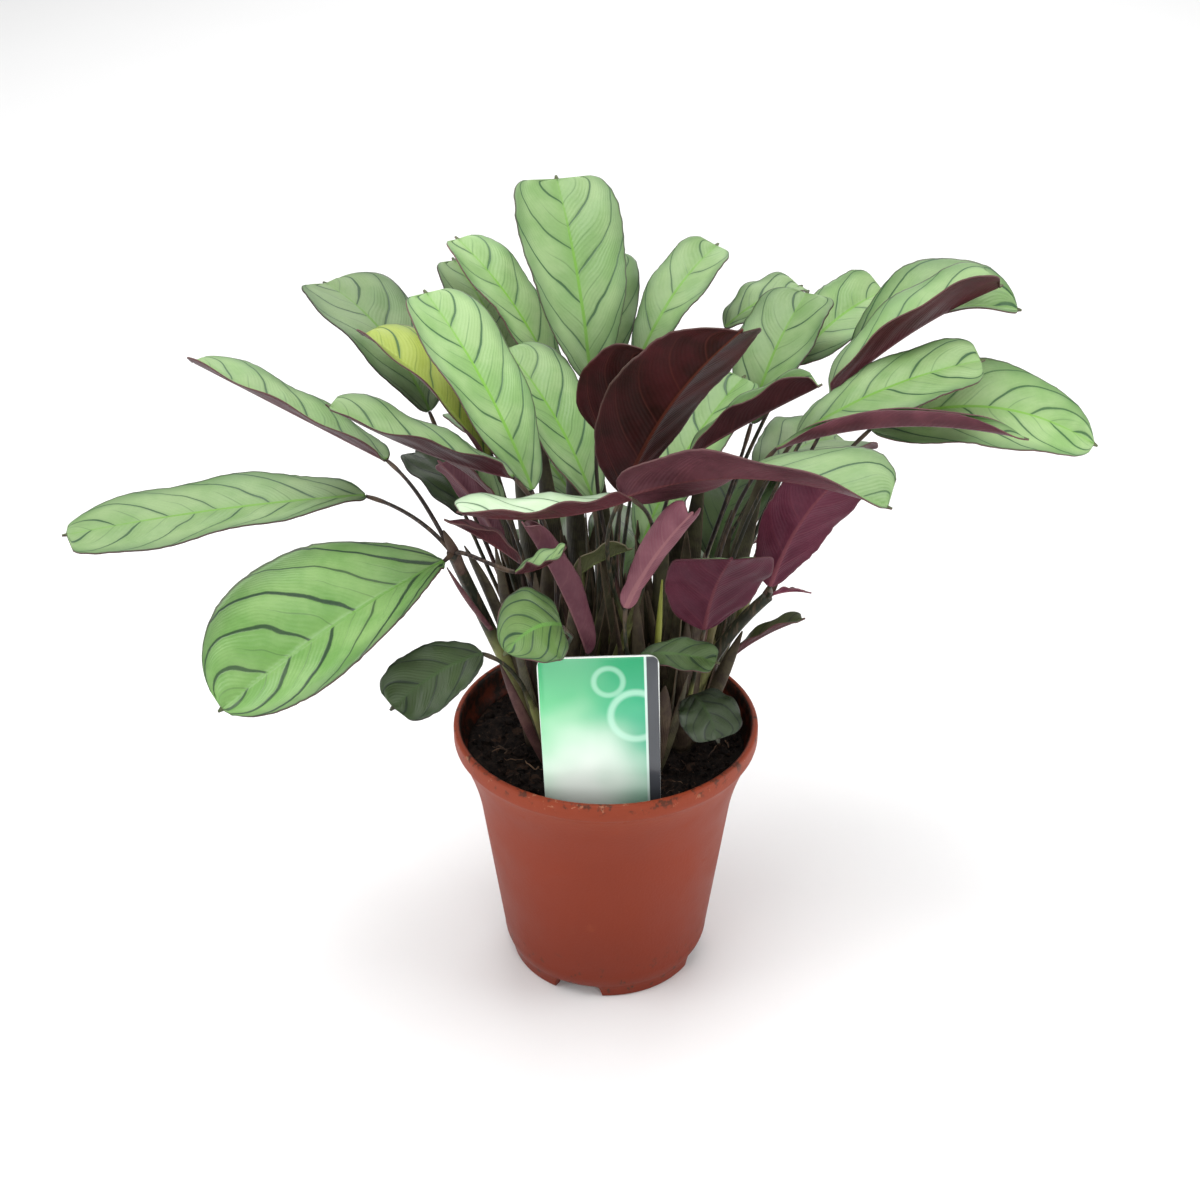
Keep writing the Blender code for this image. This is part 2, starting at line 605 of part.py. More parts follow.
def stalk_path(blade):
    """From crown or cane to just short of the blade's base, meeting it along its midrib."""
    base = blade.base
    if blade.source in CANES:
        top = cane_path(blade.source)
        rise = (top[-1] - top[-2]).normalized()
        start = top[-1] - rise * CANE_OVERLAP
    else:
        x, y = CROWNS[blade.source]
        crown = Vector((x, y, STALK_START))
        outward = Vector((base.x - x, base.y - y, 0.0)).normalized()
        start = crown + outward * STALK_OFFSET
        lean = (base - crown).to_2d().length / (base.z - crown.z)
        rise = outward * min(lean * blade.shape["spread"], MOST_SPREAD) + Vector((0.0, 0.0, 1.0))
    reach = (base - start).length
    straight = (base - start).normalized()
    leave = (rise + straight * STALK_STRAIGHTENS).normalized()
    arrive = (straight + blade.tangent(0.0)).normalized()
    controls = (
        start,
        start + leave * (blade.shape["upright"] * reach),
        base - arrive * (STALK_END_PULL * reach),
        base - arrive * STALK_GAP,
    )
    return bezier(controls, STALK_POINTS - 1)


def tube(name, path, start_radius, end_radius, parts):
    """A tapering round stem along the path, as a closed mesh object."""
    curve = bpy.data.curves.new(name, "CURVE")
    curve.dimensions = "3D"
    curve.bevel_depth = MM
    curve.bevel_resolution = 1
    curve.use_fill_caps = True
    spline = curve.splines.new("POLY")
    spline.points.add(len(path) - 1)
    for index, (point, place) in enumerate(zip(spline.points, path)):
        point.co = (*(place * MM), 1.0)
        point.radius = start_radius + (end_radius - start_radius) * index / (len(path) - 1)
    guide = add_object(name, curve, parts)
    graph = bpy.context.evaluated_depsgraph_get()
    graph.update()
    mesh = bpy.data.meshes.new_from_object(guide.evaluated_get(graph))
    place = guide.matrix_world.copy()
    bpy.data.objects.remove(guide)
    shape = bmesh.new()
    shape.from_mesh(mesh)
    bmesh.ops.remove_doubles(shape, verts=shape.verts, dist=0.00001)
    bmesh.ops.recalc_face_normals(shape, faces=shape.faces)
    shape.to_mesh(mesh)
    shape.free()
    stem = add_object(name, mesh, parts)
    stem.matrix_world = place
    return stem


def make_shoot(name, blades, parts):
    """One crown with its canes and stalks, united into a single body."""
    x, y = CROWNS[name]
    bpy.ops.mesh.primitive_cone_add(
        vertices=8,
        radius1=CROWN_FOOT_RADIUS * MM,
        radius2=CROWN_TOP_RADIUS * MM,
        depth=(CROWN_TOP - CROWN_DEPTH) * MM,
        location=(x * MM, y * MM, (CROWN_TOP + CROWN_DEPTH) / 2 * MM),
    )
    crown = bpy.context.object
    crown.name = name
    for collection in list(crown.users_collection):
        collection.objects.unlink(crown)
    parts.objects.link(crown)
    crown.data.materials.append(plain_material(name, STALK_BROWN, 0.5))
    stems = new_collection(name + "_stems")
    canes = [cane for cane, (shoot, _) in CANES.items() if shoot == name]
    for cane in canes:
        tube(cane, cane_path(cane), CANE_FOOT_RADIUS, CANE_TOP_RADIUS, stems)
    for blade in blades:
        if blade.source == name or blade.source in canes:
            foot = CANE_STALK_RADIUS if blade.source in canes else STALK_FOOT_RADIUS
            tube("stalk", stalk_path(blade), foot, STALK_NECK_RADIUS, stems)
    union = crown.modifiers.new("stems", "BOOLEAN")
    union.operation = "UNION"
    union.solver = "EXACT"
    union.operand_type = "COLLECTION"
    union.collection = stems
    graph = bpy.context.evaluated_depsgraph_get()
    graph.update()
    joined = bpy.data.meshes.new_from_object(crown.evaluated_get(graph))
    crown.modifiers.clear()
    crown.data = joined
    for stem in list(stems.objects):
        bpy.data.objects.remove(stem)
    bpy.data.collections.remove(stems)
    return crown


def main():
    clear_scene()
    parts = new_collection("prayer_plant")
    pot_cutters = new_collection("pot_cutters")
    soil_cutters = new_collection("soil_cutters")
    make_pot(parts, pot_cutters)
    make_soil(parts, soil_cutters)
    make_card(parts)
    blades = [make_blade(name, parts) for name in LEAVES]
    for name in CROWNS:
        make_shoot(name, blades, parts)


main()
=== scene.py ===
"""Fishbone prayer plant in its nursery pot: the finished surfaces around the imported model.

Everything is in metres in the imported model's own frame. The sizes and tables written here are in
millimetres and degrees, and the same as those of the part, but for leaf_back_1, which is a little
narrower and shorter than its solid.
"""

import math
import random

import bmesh
import bpy
from mathutils import Matrix, Vector, noise


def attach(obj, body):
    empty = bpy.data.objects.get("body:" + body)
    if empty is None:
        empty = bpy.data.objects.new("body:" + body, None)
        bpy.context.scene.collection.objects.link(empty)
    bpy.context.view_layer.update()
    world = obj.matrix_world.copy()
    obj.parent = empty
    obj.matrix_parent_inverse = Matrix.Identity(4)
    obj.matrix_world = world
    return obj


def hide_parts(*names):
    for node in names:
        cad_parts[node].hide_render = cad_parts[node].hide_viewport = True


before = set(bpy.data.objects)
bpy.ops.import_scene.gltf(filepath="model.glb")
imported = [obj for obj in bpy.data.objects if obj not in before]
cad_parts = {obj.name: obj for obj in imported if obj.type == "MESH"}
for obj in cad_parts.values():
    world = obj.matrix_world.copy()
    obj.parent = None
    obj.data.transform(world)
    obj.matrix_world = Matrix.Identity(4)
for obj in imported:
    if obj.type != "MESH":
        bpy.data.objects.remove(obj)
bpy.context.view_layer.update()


# ---- Nursery pot
# A thin pot of matte terracotta-coloured polypropylene, injection moulded in one piece: a tapering
# wall with a flare under its rolled lip, and a foot ring with four notches that let water out.
# Nine drainage holes go through its floor.

MM = 0.001
LIP_RADIUS = 60.5
LIP_ROUND = 1.6
LIP_STEP = 1.2
POT_HEIGHT = 111.0
LIP_HEIGHT = 7.5
LIP_FOOT = POT_HEIGHT - LIP_HEIGHT
NECK_RADIUS = 50.5
NECK_HEIGHT = 74.0
FLARE_BEND = 1.85
FOOT_RADIUS = 39.3
FOOT_CORNER = 13.2
HEEL_RADIUS = 42.5
WALL = 1.4
FLOOR_HEIGHT = 6.0
FLOOR_CORNER = 2.5
FOOT_RING = 4.0
POT_STEPS = 180
CENTRE_HOLE = 5.0
DRAIN_HOLES = 8
DRAIN_HOLE_RADIUS = 3.5
DRAIN_CIRCLE = 24.0
NOTCHES = 4
NOTCH_WIDTH = 20.0
NOTCH_HEIGHT = 5.5
NOTCH_START = -107.0


def taper(height):
    """Radius of the straight wall below the neck, carried on upward."""
    rise = (height - FOOT_CORNER) / (NECK_HEIGHT - FOOT_CORNER)
    return HEEL_RADIUS + (NECK_RADIUS - HEEL_RADIUS) * rise


def flare(height):
    """Radius of the outer wall: the straight taper, then a flare that ends under the lip."""
    spread = LIP_RADIUS - LIP_STEP - taper(LIP_FOOT)
    rise = max(0.0, height - NECK_HEIGHT) / (LIP_FOOT - NECK_HEIGHT)
    return taper(height) + spread * rise**FLARE_BEND


def arc(centre, radius, start, end, steps):
    """Points of an arc in the profile plane, by angle in degrees."""
    angles = (math.radians(start + (end - start) * i / steps) for i in range(steps + 1))
    return [(centre[0] + radius * math.cos(a), centre[1] + radius * math.sin(a)) for a in angles]


def turn(shape, profile, steps):
    """Spin a profile of (radius, height) points into a full turn about Z; the seam is merged."""
    ring = [shape.verts.new((radius * MM, 0.0, height * MM)) for radius, height in profile]
    edges = [shape.edges.new(pair) for pair in zip(ring, ring[1:])]
    bmesh.ops.spin(
        shape,
        geom=ring + edges,
        axis=(0.0, 0.0, 1.0),
        cent=(0.0, 0.0, 0.0),
        angle=2 * math.pi,
        steps=steps,
        use_merge=True,
    )
    bmesh.ops.remove_doubles(shape, verts=shape.verts, dist=0.00001)
    bmesh.ops.recalc_face_normals(shape, faces=shape.faces)


def finished_piece(name, shape, materials, nodes=(), sharp=None):
    """Make an object of the mesh, ride it on the plant's one body and hide the imported parts that it
    stands for.
    """
    mesh = bpy.data.meshes.new(name)
    shape.to_mesh(mesh)
    shape.free()
    mesh.shade_smooth()
    if sharp:
        mesh.set_sharp_from_angle(angle=math.radians(sharp))
    for material in materials:
        mesh.materials.append(material)
    piece = bpy.data.objects.new(name, mesh)
    bpy.context.scene.collection.objects.link(piece)
    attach(piece, "root")
    if nodes:
        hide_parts(*nodes)
    return piece


class Wire:
    """The output of a shader node; arithmetic on wires adds Math nodes."""

    def __init__(self, socket):
        self.socket = socket
        self.tree = socket.id_data

    def __add__(self, other):
        return calc("ADD", self, other)

    def __sub__(self, other):
        return calc("SUBTRACT", self, other)

    def __mul__(self, other):
        return calc("MULTIPLY", self, other)

    def __truediv__(self, other):
        return calc("DIVIDE", self, other)

    def __abs__(self):
        return calc("ABSOLUTE", self)

    def parts(self):
        """The three numbers of a vector."""
        split = node(self.tree, "ShaderNodeSeparateXYZ", i0=self)
        return [Wire(socket) for socket in split.socket.node.outputs]


def connect(socket, value):
    """Link a wire to the socket, or set anything else as its value."""
    if isinstance(value, Wire):
        value.tree.links.new(value.socket, socket)
    else:
        socket.default_value = value


def node(tree, kind, settings=None, output=0, **inputs):
    """Add a node and return one output; inputs go by their name, or by i and their number."""
    made = tree.nodes.new(kind)
    for key, value in (settings or {}).items():
        setattr(made, key, value)
    for key, value in inputs.items():
        numbered = key[0] == "i" and key[1:].isdigit()
        connect(made.inputs[int(key[1:]) if numbered else key], value)
    return Wire(made.outputs[output])


def calc(operation, *values):
    """One Math node."""
    inputs = {f"i{index}": value for index, value in enumerate(values)}
    return node(values[0].tree, "ShaderNodeMath", {"operation": operation}, **inputs)


def calc_vector(operation, first, second, output=0):
    """One Vector Math node."""
    settings = {"operation": operation}
    return node(first.tree, "ShaderNodeVectorMath", settings, output, i0=first, i1=second)


def ease(value, low, high, start=0.0, end=1.0):
    """Smooth step of a value from one range to another."""
    settings = {"interpolation_type": "SMOOTHSTEP"}
    ranges = {"i1": low, "i2": high, "i3": start, "i4": end}
    return node(value.tree, "ShaderNodeMapRange", settings, i0=value, **ranges)


def tint(factor, first, second):
    """Mix two colours."""
    first, second = ((*c, 1.0) if isinstance(c, tuple) else c for c in (first, second))
    settings = {"data_type": "RGBA"}
    return node(factor.tree, "ShaderNodeMix", settings, 2, i0=factor, i6=first, i7=second)


def brighten(colour, light):
    """Multiply a colour by a number."""
    settings = {"operation": "SCALE"}
    return node(colour.tree, "ShaderNodeVectorMath", settings, i0=colour, Scale=light)


def grain(place, scale, detail=2.0, roughness=0.5):
    """Noise by place, from 0 to 1."""
    inputs = {"Vector": place, "Scale": scale, "Detail": detail, "Roughness": roughness}
    return node(place.tree, "ShaderNodeTexNoise", **inputs)


def new_material(name):
    """A new material, and the place in metres that its nodes start from."""
    material = bpy.data.materials.new(name)
    material.use_nodes = True
    return material, node(material.node_tree, "ShaderNodeTexCoord", output="Object")


def finish(material, colour, roughness, specular=0.5, bump=None, coat=(0.0, 0.03)):
    """Connect a material's colour and finish; a bump is its height, strength and depth in metres."""
    inputs = material.node_tree.nodes["Principled BSDF"].inputs
    connect(inputs["Base Color"], colour)
    connect(inputs["Roughness"], roughness)
    inputs["Specular IOR Level"].default_value = specular
    inputs["Coat Weight"].default_value, inputs["Coat Roughness"].default_value = coat
    if bump:
        sizes = dict(zip(("Height", "Strength", "Distance"), bump))
        connect(inputs["Normal"], node(material.node_tree, "ShaderNodeBump", **sizes))
    return material


def pot_plastic():
    """Terracotta plastic: slight mottling, painted shade towards the foot, a painted lighter band up to
    the lip, pale scuffs, soil dust caught on the lip and foot, and an inner wall darkened by soil stain
    and painted shade.
    """
    material, place = new_material("terracotta_plastic")
    height = place.parts()[2]
    mottle = grain(place, 35.0, 3.0)
    body = tint(mottle, (0.185, 0.027, 0.0105), (0.225, 0.036, 0.0145))
    # Painted shade: the body darkens towards the foot.
    body = tint(ease(height, 0.085, 0.0, 0.0, 0.6), body, (0.125, 0.0165, 0.007))
    # Painted light: the body grows lighter up the flare to the lip.
    body = tint(ease(height, 0.09, 0.108, 0.0, 0.45), body, (0.27, 0.05, 0.02))
    scuff = ease(grain(place, 90.0, 6.0, 0.7), 0.6, 0.76, 0.0, 0.22)
    body = tint(scuff, body, (0.3, 0.085, 0.045))
    on_lip = ease(height, 0.1055, 0.1095)
    dust = ease(grain(place, 260.0, 4.0, 0.65), 0.54, 0.64) * on_lip
    body = tint(dust * 0.8, body, (0.045, 0.02, 0.012))
    pale_dust = ease(grain(place, 330.0, 3.0, 0.6), 0.62, 0.7) * on_lip
    body = tint(pale_dust * 0.45, body, (0.5, 0.26, 0.15))
    facing = node(place.tree, "ShaderNodeNewGeometry", output="Normal")
    sideways = calc_vector("MULTIPLY", place, (1.0, 1.0, 0.0))
    outward = calc_vector("DOT_PRODUCT", facing, sideways, "Value")
    # Inside wall above the soil: soil stain and painted shade together darken it to near black.
    inside = ease(outward, -0.02, -0.04) * ease(height, 0.094, 0.096)
    soil_stain_and_shade = ease(grain(place, 140.0, 5.0, 0.7), 0.36, 0.58, 0.55, 1.0)
    body = tint(inside * soil_stain_and_shade, body, (0.016, 0.011, 0.008))
    speck = ease(grain(place, 300.0, 2.0, 0.5), 0.62, 0.68) * ease(height, 0.03, 0.001)
    body = tint(speck, body, (0.06, 0.022, 0.012))
    dull = ease(mottle, 0.3, 0.7, 0.42, 0.56) + scuff
    fine = grain(place, 900.0, 3.0, 0.6)
    return finish(material, body, dull, specular=0.16, bump=(fine, 0.22, 0.0004))


def pot_section():
    """Closed section of the pot at +X, down its outer side and up its inner side."""
    walls = [LIP_FOOT - 0.4] + [100.0 - 3.0 * i for i in range(29)]
    section = arc((LIP_RADIUS - LIP_ROUND, POT_HEIGHT - LIP_ROUND), LIP_ROUND, 90, 0, 6)
    section += [(LIP_RADIUS, POT_HEIGHT - 4.0), (LIP_RADIUS, LIP_FOOT + 1.6)]
    section += [(LIP_RADIUS - 0.2, LIP_FOOT + 0.8), (LIP_RADIUS - 0.6, LIP_FOOT + 0.2)]
    section += [(flare(z), z) for z in walls]
    section += arc((HEEL_RADIUS - FOOT_CORNER, FOOT_CORNER), FOOT_CORNER, 0, -33, 8)
    ring = FOOT_RADIUS - FOOT_RING
    section += [(FOOT_RADIUS + 0.5, 3.6), (FOOT_RADIUS + 0.2, 1.8)]
    section += arc((FOOT_RADIUS - 1.0, 1.0), 1.0, 0, -90, 5)
    section += [(ring + 0.4, 0.0), (ring, 0.3)]
    section += [(ring - 0.5, 3.0), (ring - 1.0, FLOOR_HEIGHT), (CENTRE_HOLE, FLOOR_HEIGHT)]
    section += [(CENTRE_HOLE, FLOOR_HEIGHT + WALL)]
    section.append((HEEL_RADIUS - WALL - FLOOR_CORNER, FLOOR_HEIGHT + WALL))
    section += [(flare(z) - WALL, z) for z in (9.0, 12.0, *reversed(walls))]
    section += [(LIP_RADIUS - 3.1, LIP_FOOT + 3.0), (LIP_RADIUS - 2.9, POT_HEIGHT - 1.2)]
    section += [(LIP_RADIUS - 2.6, POT_HEIGHT - 0.5), (LIP_RADIUS - 2.1, POT_HEIGHT - 0.1)]
    section.append(section[0])
    return section


def drill(piece, holes):
    """Cut the holes out of a piece, and keep the result as its mesh."""
    cutters = bpy.data.meshes.new("drill")
    holes.to_mesh(cutters)
    holes.free()
    tool = bpy.data.objects.new("drill", cutters)
    bpy.context.scene.collection.objects.link(tool)
    boolean = piece.modifiers.new("holes", "BOOLEAN")
    boolean.operation = "DIFFERENCE"
    boolean.solver = "EXACT"
    boolean.object = tool
    graph = bpy.context.evaluated_depsgraph_get()
    graph.update()
    drilled = bpy.data.meshes.new_from_object(piece.evaluated_get(graph))
    piece.modifiers.clear()
    piece.data = drilled
    drilled.name = piece.name
    bpy.data.objects.remove(tool)


pot_shape = bmesh.new()
turn(pot_shape, pot_section(), POT_STEPS)
half_notch = NOTCH_WIDTH / 2 / FOOT_RADIUS
for vertex in pot_shape.verts:
    out = vertex.co.to_2d().length
    if vertex.co.z < NOTCH_HEIGHT * MM and out > (FOOT_RADIUS - FOOT_RING - 2.0) * MM:
        heading = math.atan2(vertex.co.y, vertex.co.x) - math.radians(NOTCH_START)
        step = 2 * math.pi / NOTCHES
        off = abs((heading + step / 2) % step - step / 2)
        if off < half_notch:
            round_end = min((half_notch - off) / 0.05, 1.0)
            top = NOTCH_HEIGHT * (1 - (1 - round_end) ** 2) ** 0.5
            vertex.co.z = max(vertex.co.z, top * MM)
pot = finished_piece("nursery_pot", pot_shape, [pot_plastic()], ["pot"], sharp=40)
drain_holes = bmesh.new()
for index in range(DRAIN_HOLES):
    heading = 2 * math.pi * (index + 0.5) / DRAIN_HOLES
    centre = Vector((math.cos(heading), math.sin(heading), 0.0)) * DRAIN_CIRCLE
    centre.z = FLOOR_HEIGHT + WALL / 2
    bmesh.ops.create_cone(
        drain_holes,
        cap_ends=True,
        segments=24,
        radius1=DRAIN_HOLE_RADIUS * MM,
        radius2=DRAIN_HOLE_RADIUS * MM,
        depth=4 * WALL * MM,
        matrix=Matrix.Translation(centre * MM),
    )
drill(pot, drain_holes)


# ---- Soil
# A plug of dark peat that fills the pot to 13 mm under its lip. Its top is loose and uneven, and
# crumbs of peat, bark and pale fibres lie on it.

SOIL_LEVEL = 98.0
SOIL_LUMP = 1.2
SOIL_STEPS = 144
FIT_GAP = 0.3
CRUMBS = 900
FIBRES = 70
CRUMB_RIM = 2.5
LARGE_CRUMBS = 0.16
FIBRE_RIM = 5.0
FIBRE_STEPS = 6
SOIL_EDGE = flare(SOIL_LEVEL) - WALL - FIT_GAP


def soil_height(x, y):
    """Height of the loose surface, in millimetres."""
    broad = math.sin(0.19 * x + 0.7) * math.cos(0.23 * y - 0.4)
    fine = math.sin(0.61 * x - 1.3) * math.sin(0.53 * y + 0.9)
    place = Vector((x, y, 0.0))
    clods = noise.noise(place * 0.22) * 1.3 + noise.noise(place * 0.55) * 0.9
    grit = abs(noise.noise(place * 1.3)) * 0.9
    inside = min(max(SOIL_EDGE - math.hypot(x, y), 0.0) / 4.0, 1.0)
    return SOIL_LEVEL + (SOIL_LUMP * (0.7 * broad + 0.5 * fine) + clods + grit) * inside


def peat():
    """Damp peat: near black with brown and rusty grains, and a rough, crumbly surface."""
    material, place = new_material("peat")
    grains = grain(place, 420.0, 6.0, 0.75)
    body = tint(ease(grains, 0.38, 0.66), (0.0045, 0.0034, 0.003), (0.03, 0.019, 0.014))
    flecks = ease(grain(place, 800.0), 0.68, 0.75)
    body = tint(flecks * 0.75, body, (0.17, 0.1, 0.062))
    bark = ease(grain(place, 190.0), 0.6, 0.66, 0.0, 0.7)
    body = tint(bark, body, (0.07, 0.038, 0.024))
    return finish(material, body, 0.92, specular=0.22, bump=(grains, 0.9, 0.0018))


def fibre():
    """Dry coir and root fibres, straw to brown."""
    material, place = new_material("fibre")
    shade = ease(grain(place, 60.0), 0.38, 0.7)
    return finish(material, tint(shade, (0.045, 0.026, 0.016), (0.3, 0.18, 0.105)), 0.8)


def slide(start, end, steps):
    """Numbers in even steps from start to end."""
    return [start + (end - start) * i / steps for i in range(steps + 1)]


PEAT = peat()
inner = WALL + FIT_GAP
soil_section = [(radius, SOIL_LEVEL) for radius in slide(0.0, SOIL_EDGE, 60)]
soil_section += [(flare(z) - inner, z) for z in (94, 91, 88, 84, 80, 77, 74, 44, 15)]
soil_section += [(HEEL_RADIUS - inner - FLOOR_CORNER, FLOOR_HEIGHT + inner)]
soil_section += [(0.0, FLOOR_HEIGHT + inner)]
soil_shape = bmesh.new()
turn(soil_shape, soil_section, SOIL_STEPS)
for vertex in soil_shape.verts:
    if vertex.co.z > (SOIL_LEVEL - 0.1) * MM:
        vertex.co.z = soil_height(vertex.co.x / MM, vertex.co.y / MM) * MM
finished_piece("soil_plug", soil_shape, [PEAT], ["soil"])

rolls = random.Random(11)
noise.seed_set(11)


def place_on_soil(rim):
    """A random x and y on the soil, at least the rim's width from its edge, in millimetres."""
    reach = (SOIL_EDGE - rim) * math.sqrt(rolls.random())
    heading = rolls.uniform(0, 2 * math.pi)
    return reach * math.cos(heading), reach * math.sin(heading)


crumb_shape = bmesh.new()
for index in range(CRUMBS):
    x, y = place_on_soil(CRUMB_RIM)
    size = rolls.uniform(0.6, 1.6) * (2.0 if rolls.random() < LARGE_CRUMBS else 1.0)
    spot = Vector((x, y, soil_height(x, y) + size * 0.25)) * MM
    angle = rolls.uniform(0, 6.3)
    axis = Vector((rolls.random(), 0.5, rolls.random()))
    turned = Matrix.Rotation(angle, 4, axis)
    flat = Matrix.Diagonal((1.0, rolls.uniform(0.5, 1.0), rolls.uniform(0.35, 0.8), 1.0))
    made = bmesh.ops.create_icosphere(
        crumb_shape,
        subdivisions=1,
        radius=size * MM,
        matrix=Matrix.Translation(spot) @ turned @ flat,
    )
    for vertex in made["verts"]:
        vertex.co += noise.noise_vector(vertex.co * 900) * size * 0.35 * MM
finished_piece("peat_crumbs", crumb_shape, [PEAT], sharp=30)


def grow_tube(shape, path, radii, sides, layer=None, marks=()):
    """Extrude a ring along the path, in millimetres, close both ends and mark each ring's points."""
    steps = [(b - a).normalized() for a, b in zip(path, path[1:])]
    tangents = [steps[0], *((a + b).normalized() for a, b in zip(steps, steps[1:])), steps[-1]]
    across = tangents[0].orthogonal().normalized()
    places = []
    for point, tangent, radius in zip(path, tangents, radii):
        across = (across - tangent * across.dot(tangent)).normalized()
        turned = Matrix((across, tangent.cross(across), tangent)).transposed().to_4x4()
        size = Matrix.Diagonal((radius * MM, radius * MM, radius * MM, 1.0))
        places.append(Matrix.Translation(point * MM) @ turned @ size)
    circle = {"cap_ends": True, "radius": 1.0, "segments": sides, "matrix": places[0]}
    rings = [bmesh.ops.create_circle(shape, **circle)["verts"]]
    edges = list(dict.fromkeys(edge for vertex in rings[0] for edge in vertex.link_edges))
    for before, after in zip(places, places[1:]):
        made = bmesh.ops.extrude_edge_only(shape, edges=edges)["geom"]
        ring = [item for item in made if isinstance(item, bmesh.types.BMVert)]
        found = [item for item in made if isinstance(item, bmesh.types.BMEdge)]
        edges = [edge for edge in found if set(edge.verts) <= set(ring)]
        bmesh.ops.transform(shape, matrix=after @ before.inverted(), verts=ring)
        rings.append(ring)
    bmesh.ops.edgeloop_fill(shape, edges=edges)
    for ring, mark in zip(rings, marks):
        for vertex in ring:
            vertex[layer] = mark


fibre_shape = bmesh.new()
for index in range(FIBRES):
    x, y = place_on_soil(FIBRE_RIM)
    lie = rolls.uniform(0, 2 * math.pi)
    length = rolls.uniform(4, 13)
    bend = rolls.uniform(-0.45, 0.45)
    path = []
    for step in range(FIBRE_STEPS):
        lie += bend * 0.3
        x += math.cos(lie) * length / FIBRE_STEPS
        y += math.sin(lie) * length / FIBRE_STEPS
        if math.hypot(x, y) > SOIL_EDGE - 1.5:
            break
        path.append(Vector((x, y, soil_height(x, y) + 0.3 + rolls.uniform(0, 0.8))))
    if len(path) > 2:
        thick = rolls.uniform(0.12, 0.34)
        grow_tube(fibre_shape, path, [thick] * (len(path) - 1) + [thick * 0.5], 5)
bmesh.ops.recalc_face_normals(fibre_shape, faces=fibre_shape.faces)
finished_piece("soil_fibres", fibre_shape, [fibre()])


# ---- Care card
# A flat printed card of glossy polypropylene with rounded corners, die cut in one piece with the
# stake that holds it in the soil. Its print is a plain green field that glows white near its foot,
# with two soft rings and a dark strip down one side, inside a thin white margin.

CARD_WIDTH = 45.0
CARD_HEIGHT = 64.0
CARD_CORNER = 4.0
CARD_THICKNESS = 0.8
CARD_TAPER = 0.7
STAKE_WIDTH = 14.0
STAKE_LENGTH = 16.0
STAKE_POINT = 6.0
STAKE_SHOULDER = 2.0
CARD_FOOT = Vector((-1.0, -46.5, 99.0))
CARD_LEAN_BACK = 8.0
CARD_LEAN_LEFT = 2.0
CARD_EDGE = 0.15

# Rings of the print: centre across and up, radius, half width and strength.
CARD_RINGS = ((0.8, 0.62, 0.21, 0.045, 0.55), (0.58, 0.84, 0.12, 0.035, 0.4))


def card_print():
    """Print on gloss plastic, read from the card's own width and height in its UV map."""
    material, place = new_material("card_print")
    spot = node(place.tree, "ShaderNodeUVMap", {"uv_map": "print"})
    across, up = spot.parts()[:2]
    drift = grain(calc_vector("MULTIPLY", spot, (1.0, 1.6, 1.0)), 2.2, 1.0) * 0.5
    slant = across + drift * 0.8
    field = tint(ease(slant, 0.3, 1.15), (0.15, 0.64, 0.28), (0.018, 0.43, 0.22))
    field = tint(ease(up, 0.55, 1.0, 0.0, 0.75), field, (0.014, 0.34, 0.13))

    def distance(x, y):
        """How far a place on the card is from the point, in card widths."""
        rise = (up - y) * (CARD_HEIGHT / CARD_WIDTH)
        run = across - x
        return calc("SQRT", run * run + rise * rise)

    glow = ease(distance(0.34, 0.16) + drift, 1.15, 0.3)
    field = tint(glow * 0.96, field, (0.93, 1.0, 0.93))
    for x, y, radius, width, strength in CARD_RINGS:
        gap = abs(distance(x, y) - radius)
        mark = ease(gap, width, width * 0.2) * strength
        field = tint(mark, field, (0.62, 0.95, 0.78))
    field = tint(ease(across, 0.872, 0.878), field, (0.62, 0.8, 0.72))
    field = tint(ease(across, 0.892, 0.898), field, (0.055, 0.06, 0.07))
    side_edge = ease(abs(across - 0.5), 0.488, 0.491)
    end_edge = ease(abs(up - 0.5), 0.491, 0.493)
    field = tint(calc("MAXIMUM", side_edge, end_edge), field, (0.8, 0.84, 0.8))
    return finish(material, field, 0.22, coat=(0.35, 0.12))


def card_plastic():
    """Plain white back and stake of the card."""
    material, place = new_material("card_plastic")
    body = tint(grain(place, 70.0, 3.0), (0.72, 0.75, 0.72), (0.8, 0.82, 0.79))
    return finish(material, body, 0.3)


card_shape = bmesh.new()
half = CARD_WIDTH / 2
right = [(0.0, -STAKE_LENGTH), (STAKE_WIDTH / 2, STAKE_POINT - STAKE_LENGTH)]
right += [(STAKE_WIDTH / 2, -STAKE_SHOULDER), (half - CARD_CORNER, 0.0)]
right += [(half - CARD_TAPER, CARD_CORNER)]
right += arc((half - CARD_CORNER, CARD_HEIGHT - CARD_CORNER), CARD_CORNER, 0, 90, 8)
outline = right + [(-x, z) for x, z in reversed(right[1:])]
rim = [card_shape.verts.new((x * MM, -CARD_THICKNESS / 2 * MM, z * MM)) for x, z in outline]
front = card_shape.faces.new(rim)
solid = bmesh.ops.extrude_face_region(card_shape, geom=[front])["geom"]
behind = [item for item in solid if isinstance(item, bmesh.types.BMVert)]
bmesh.ops.translate(card_shape, verts=behind, vec=(0.0, CARD_THICKNESS * MM, 0.0))
bmesh.ops.recalc_face_normals(card_shape, faces=card_shape.faces)
uprights = [e for e in card_shape.edges if abs(e.verts[0].co.y - e.verts[1].co.y) < 1e-6]
bmesh.ops.bevel(
    card_shape,
    geom=uprights,
    offset=CARD_EDGE * MM,
    segments=2,
    profile=0.5,
    affect="EDGES",
    material=-1,
)
prints = card_shape.loops.layers.uv.new("print")
for face in card_shape.faces:
    face.material_index = 0 if face.normal.y < -0.9 and face.calc_center_median().z > 0 else 1
    for loop in face.loops:
        loop[prints].uv = (
            loop.vert.co.x / MM / CARD_WIDTH + 0.5,
            loop.vert.co.z / MM / CARD_HEIGHT,
        )
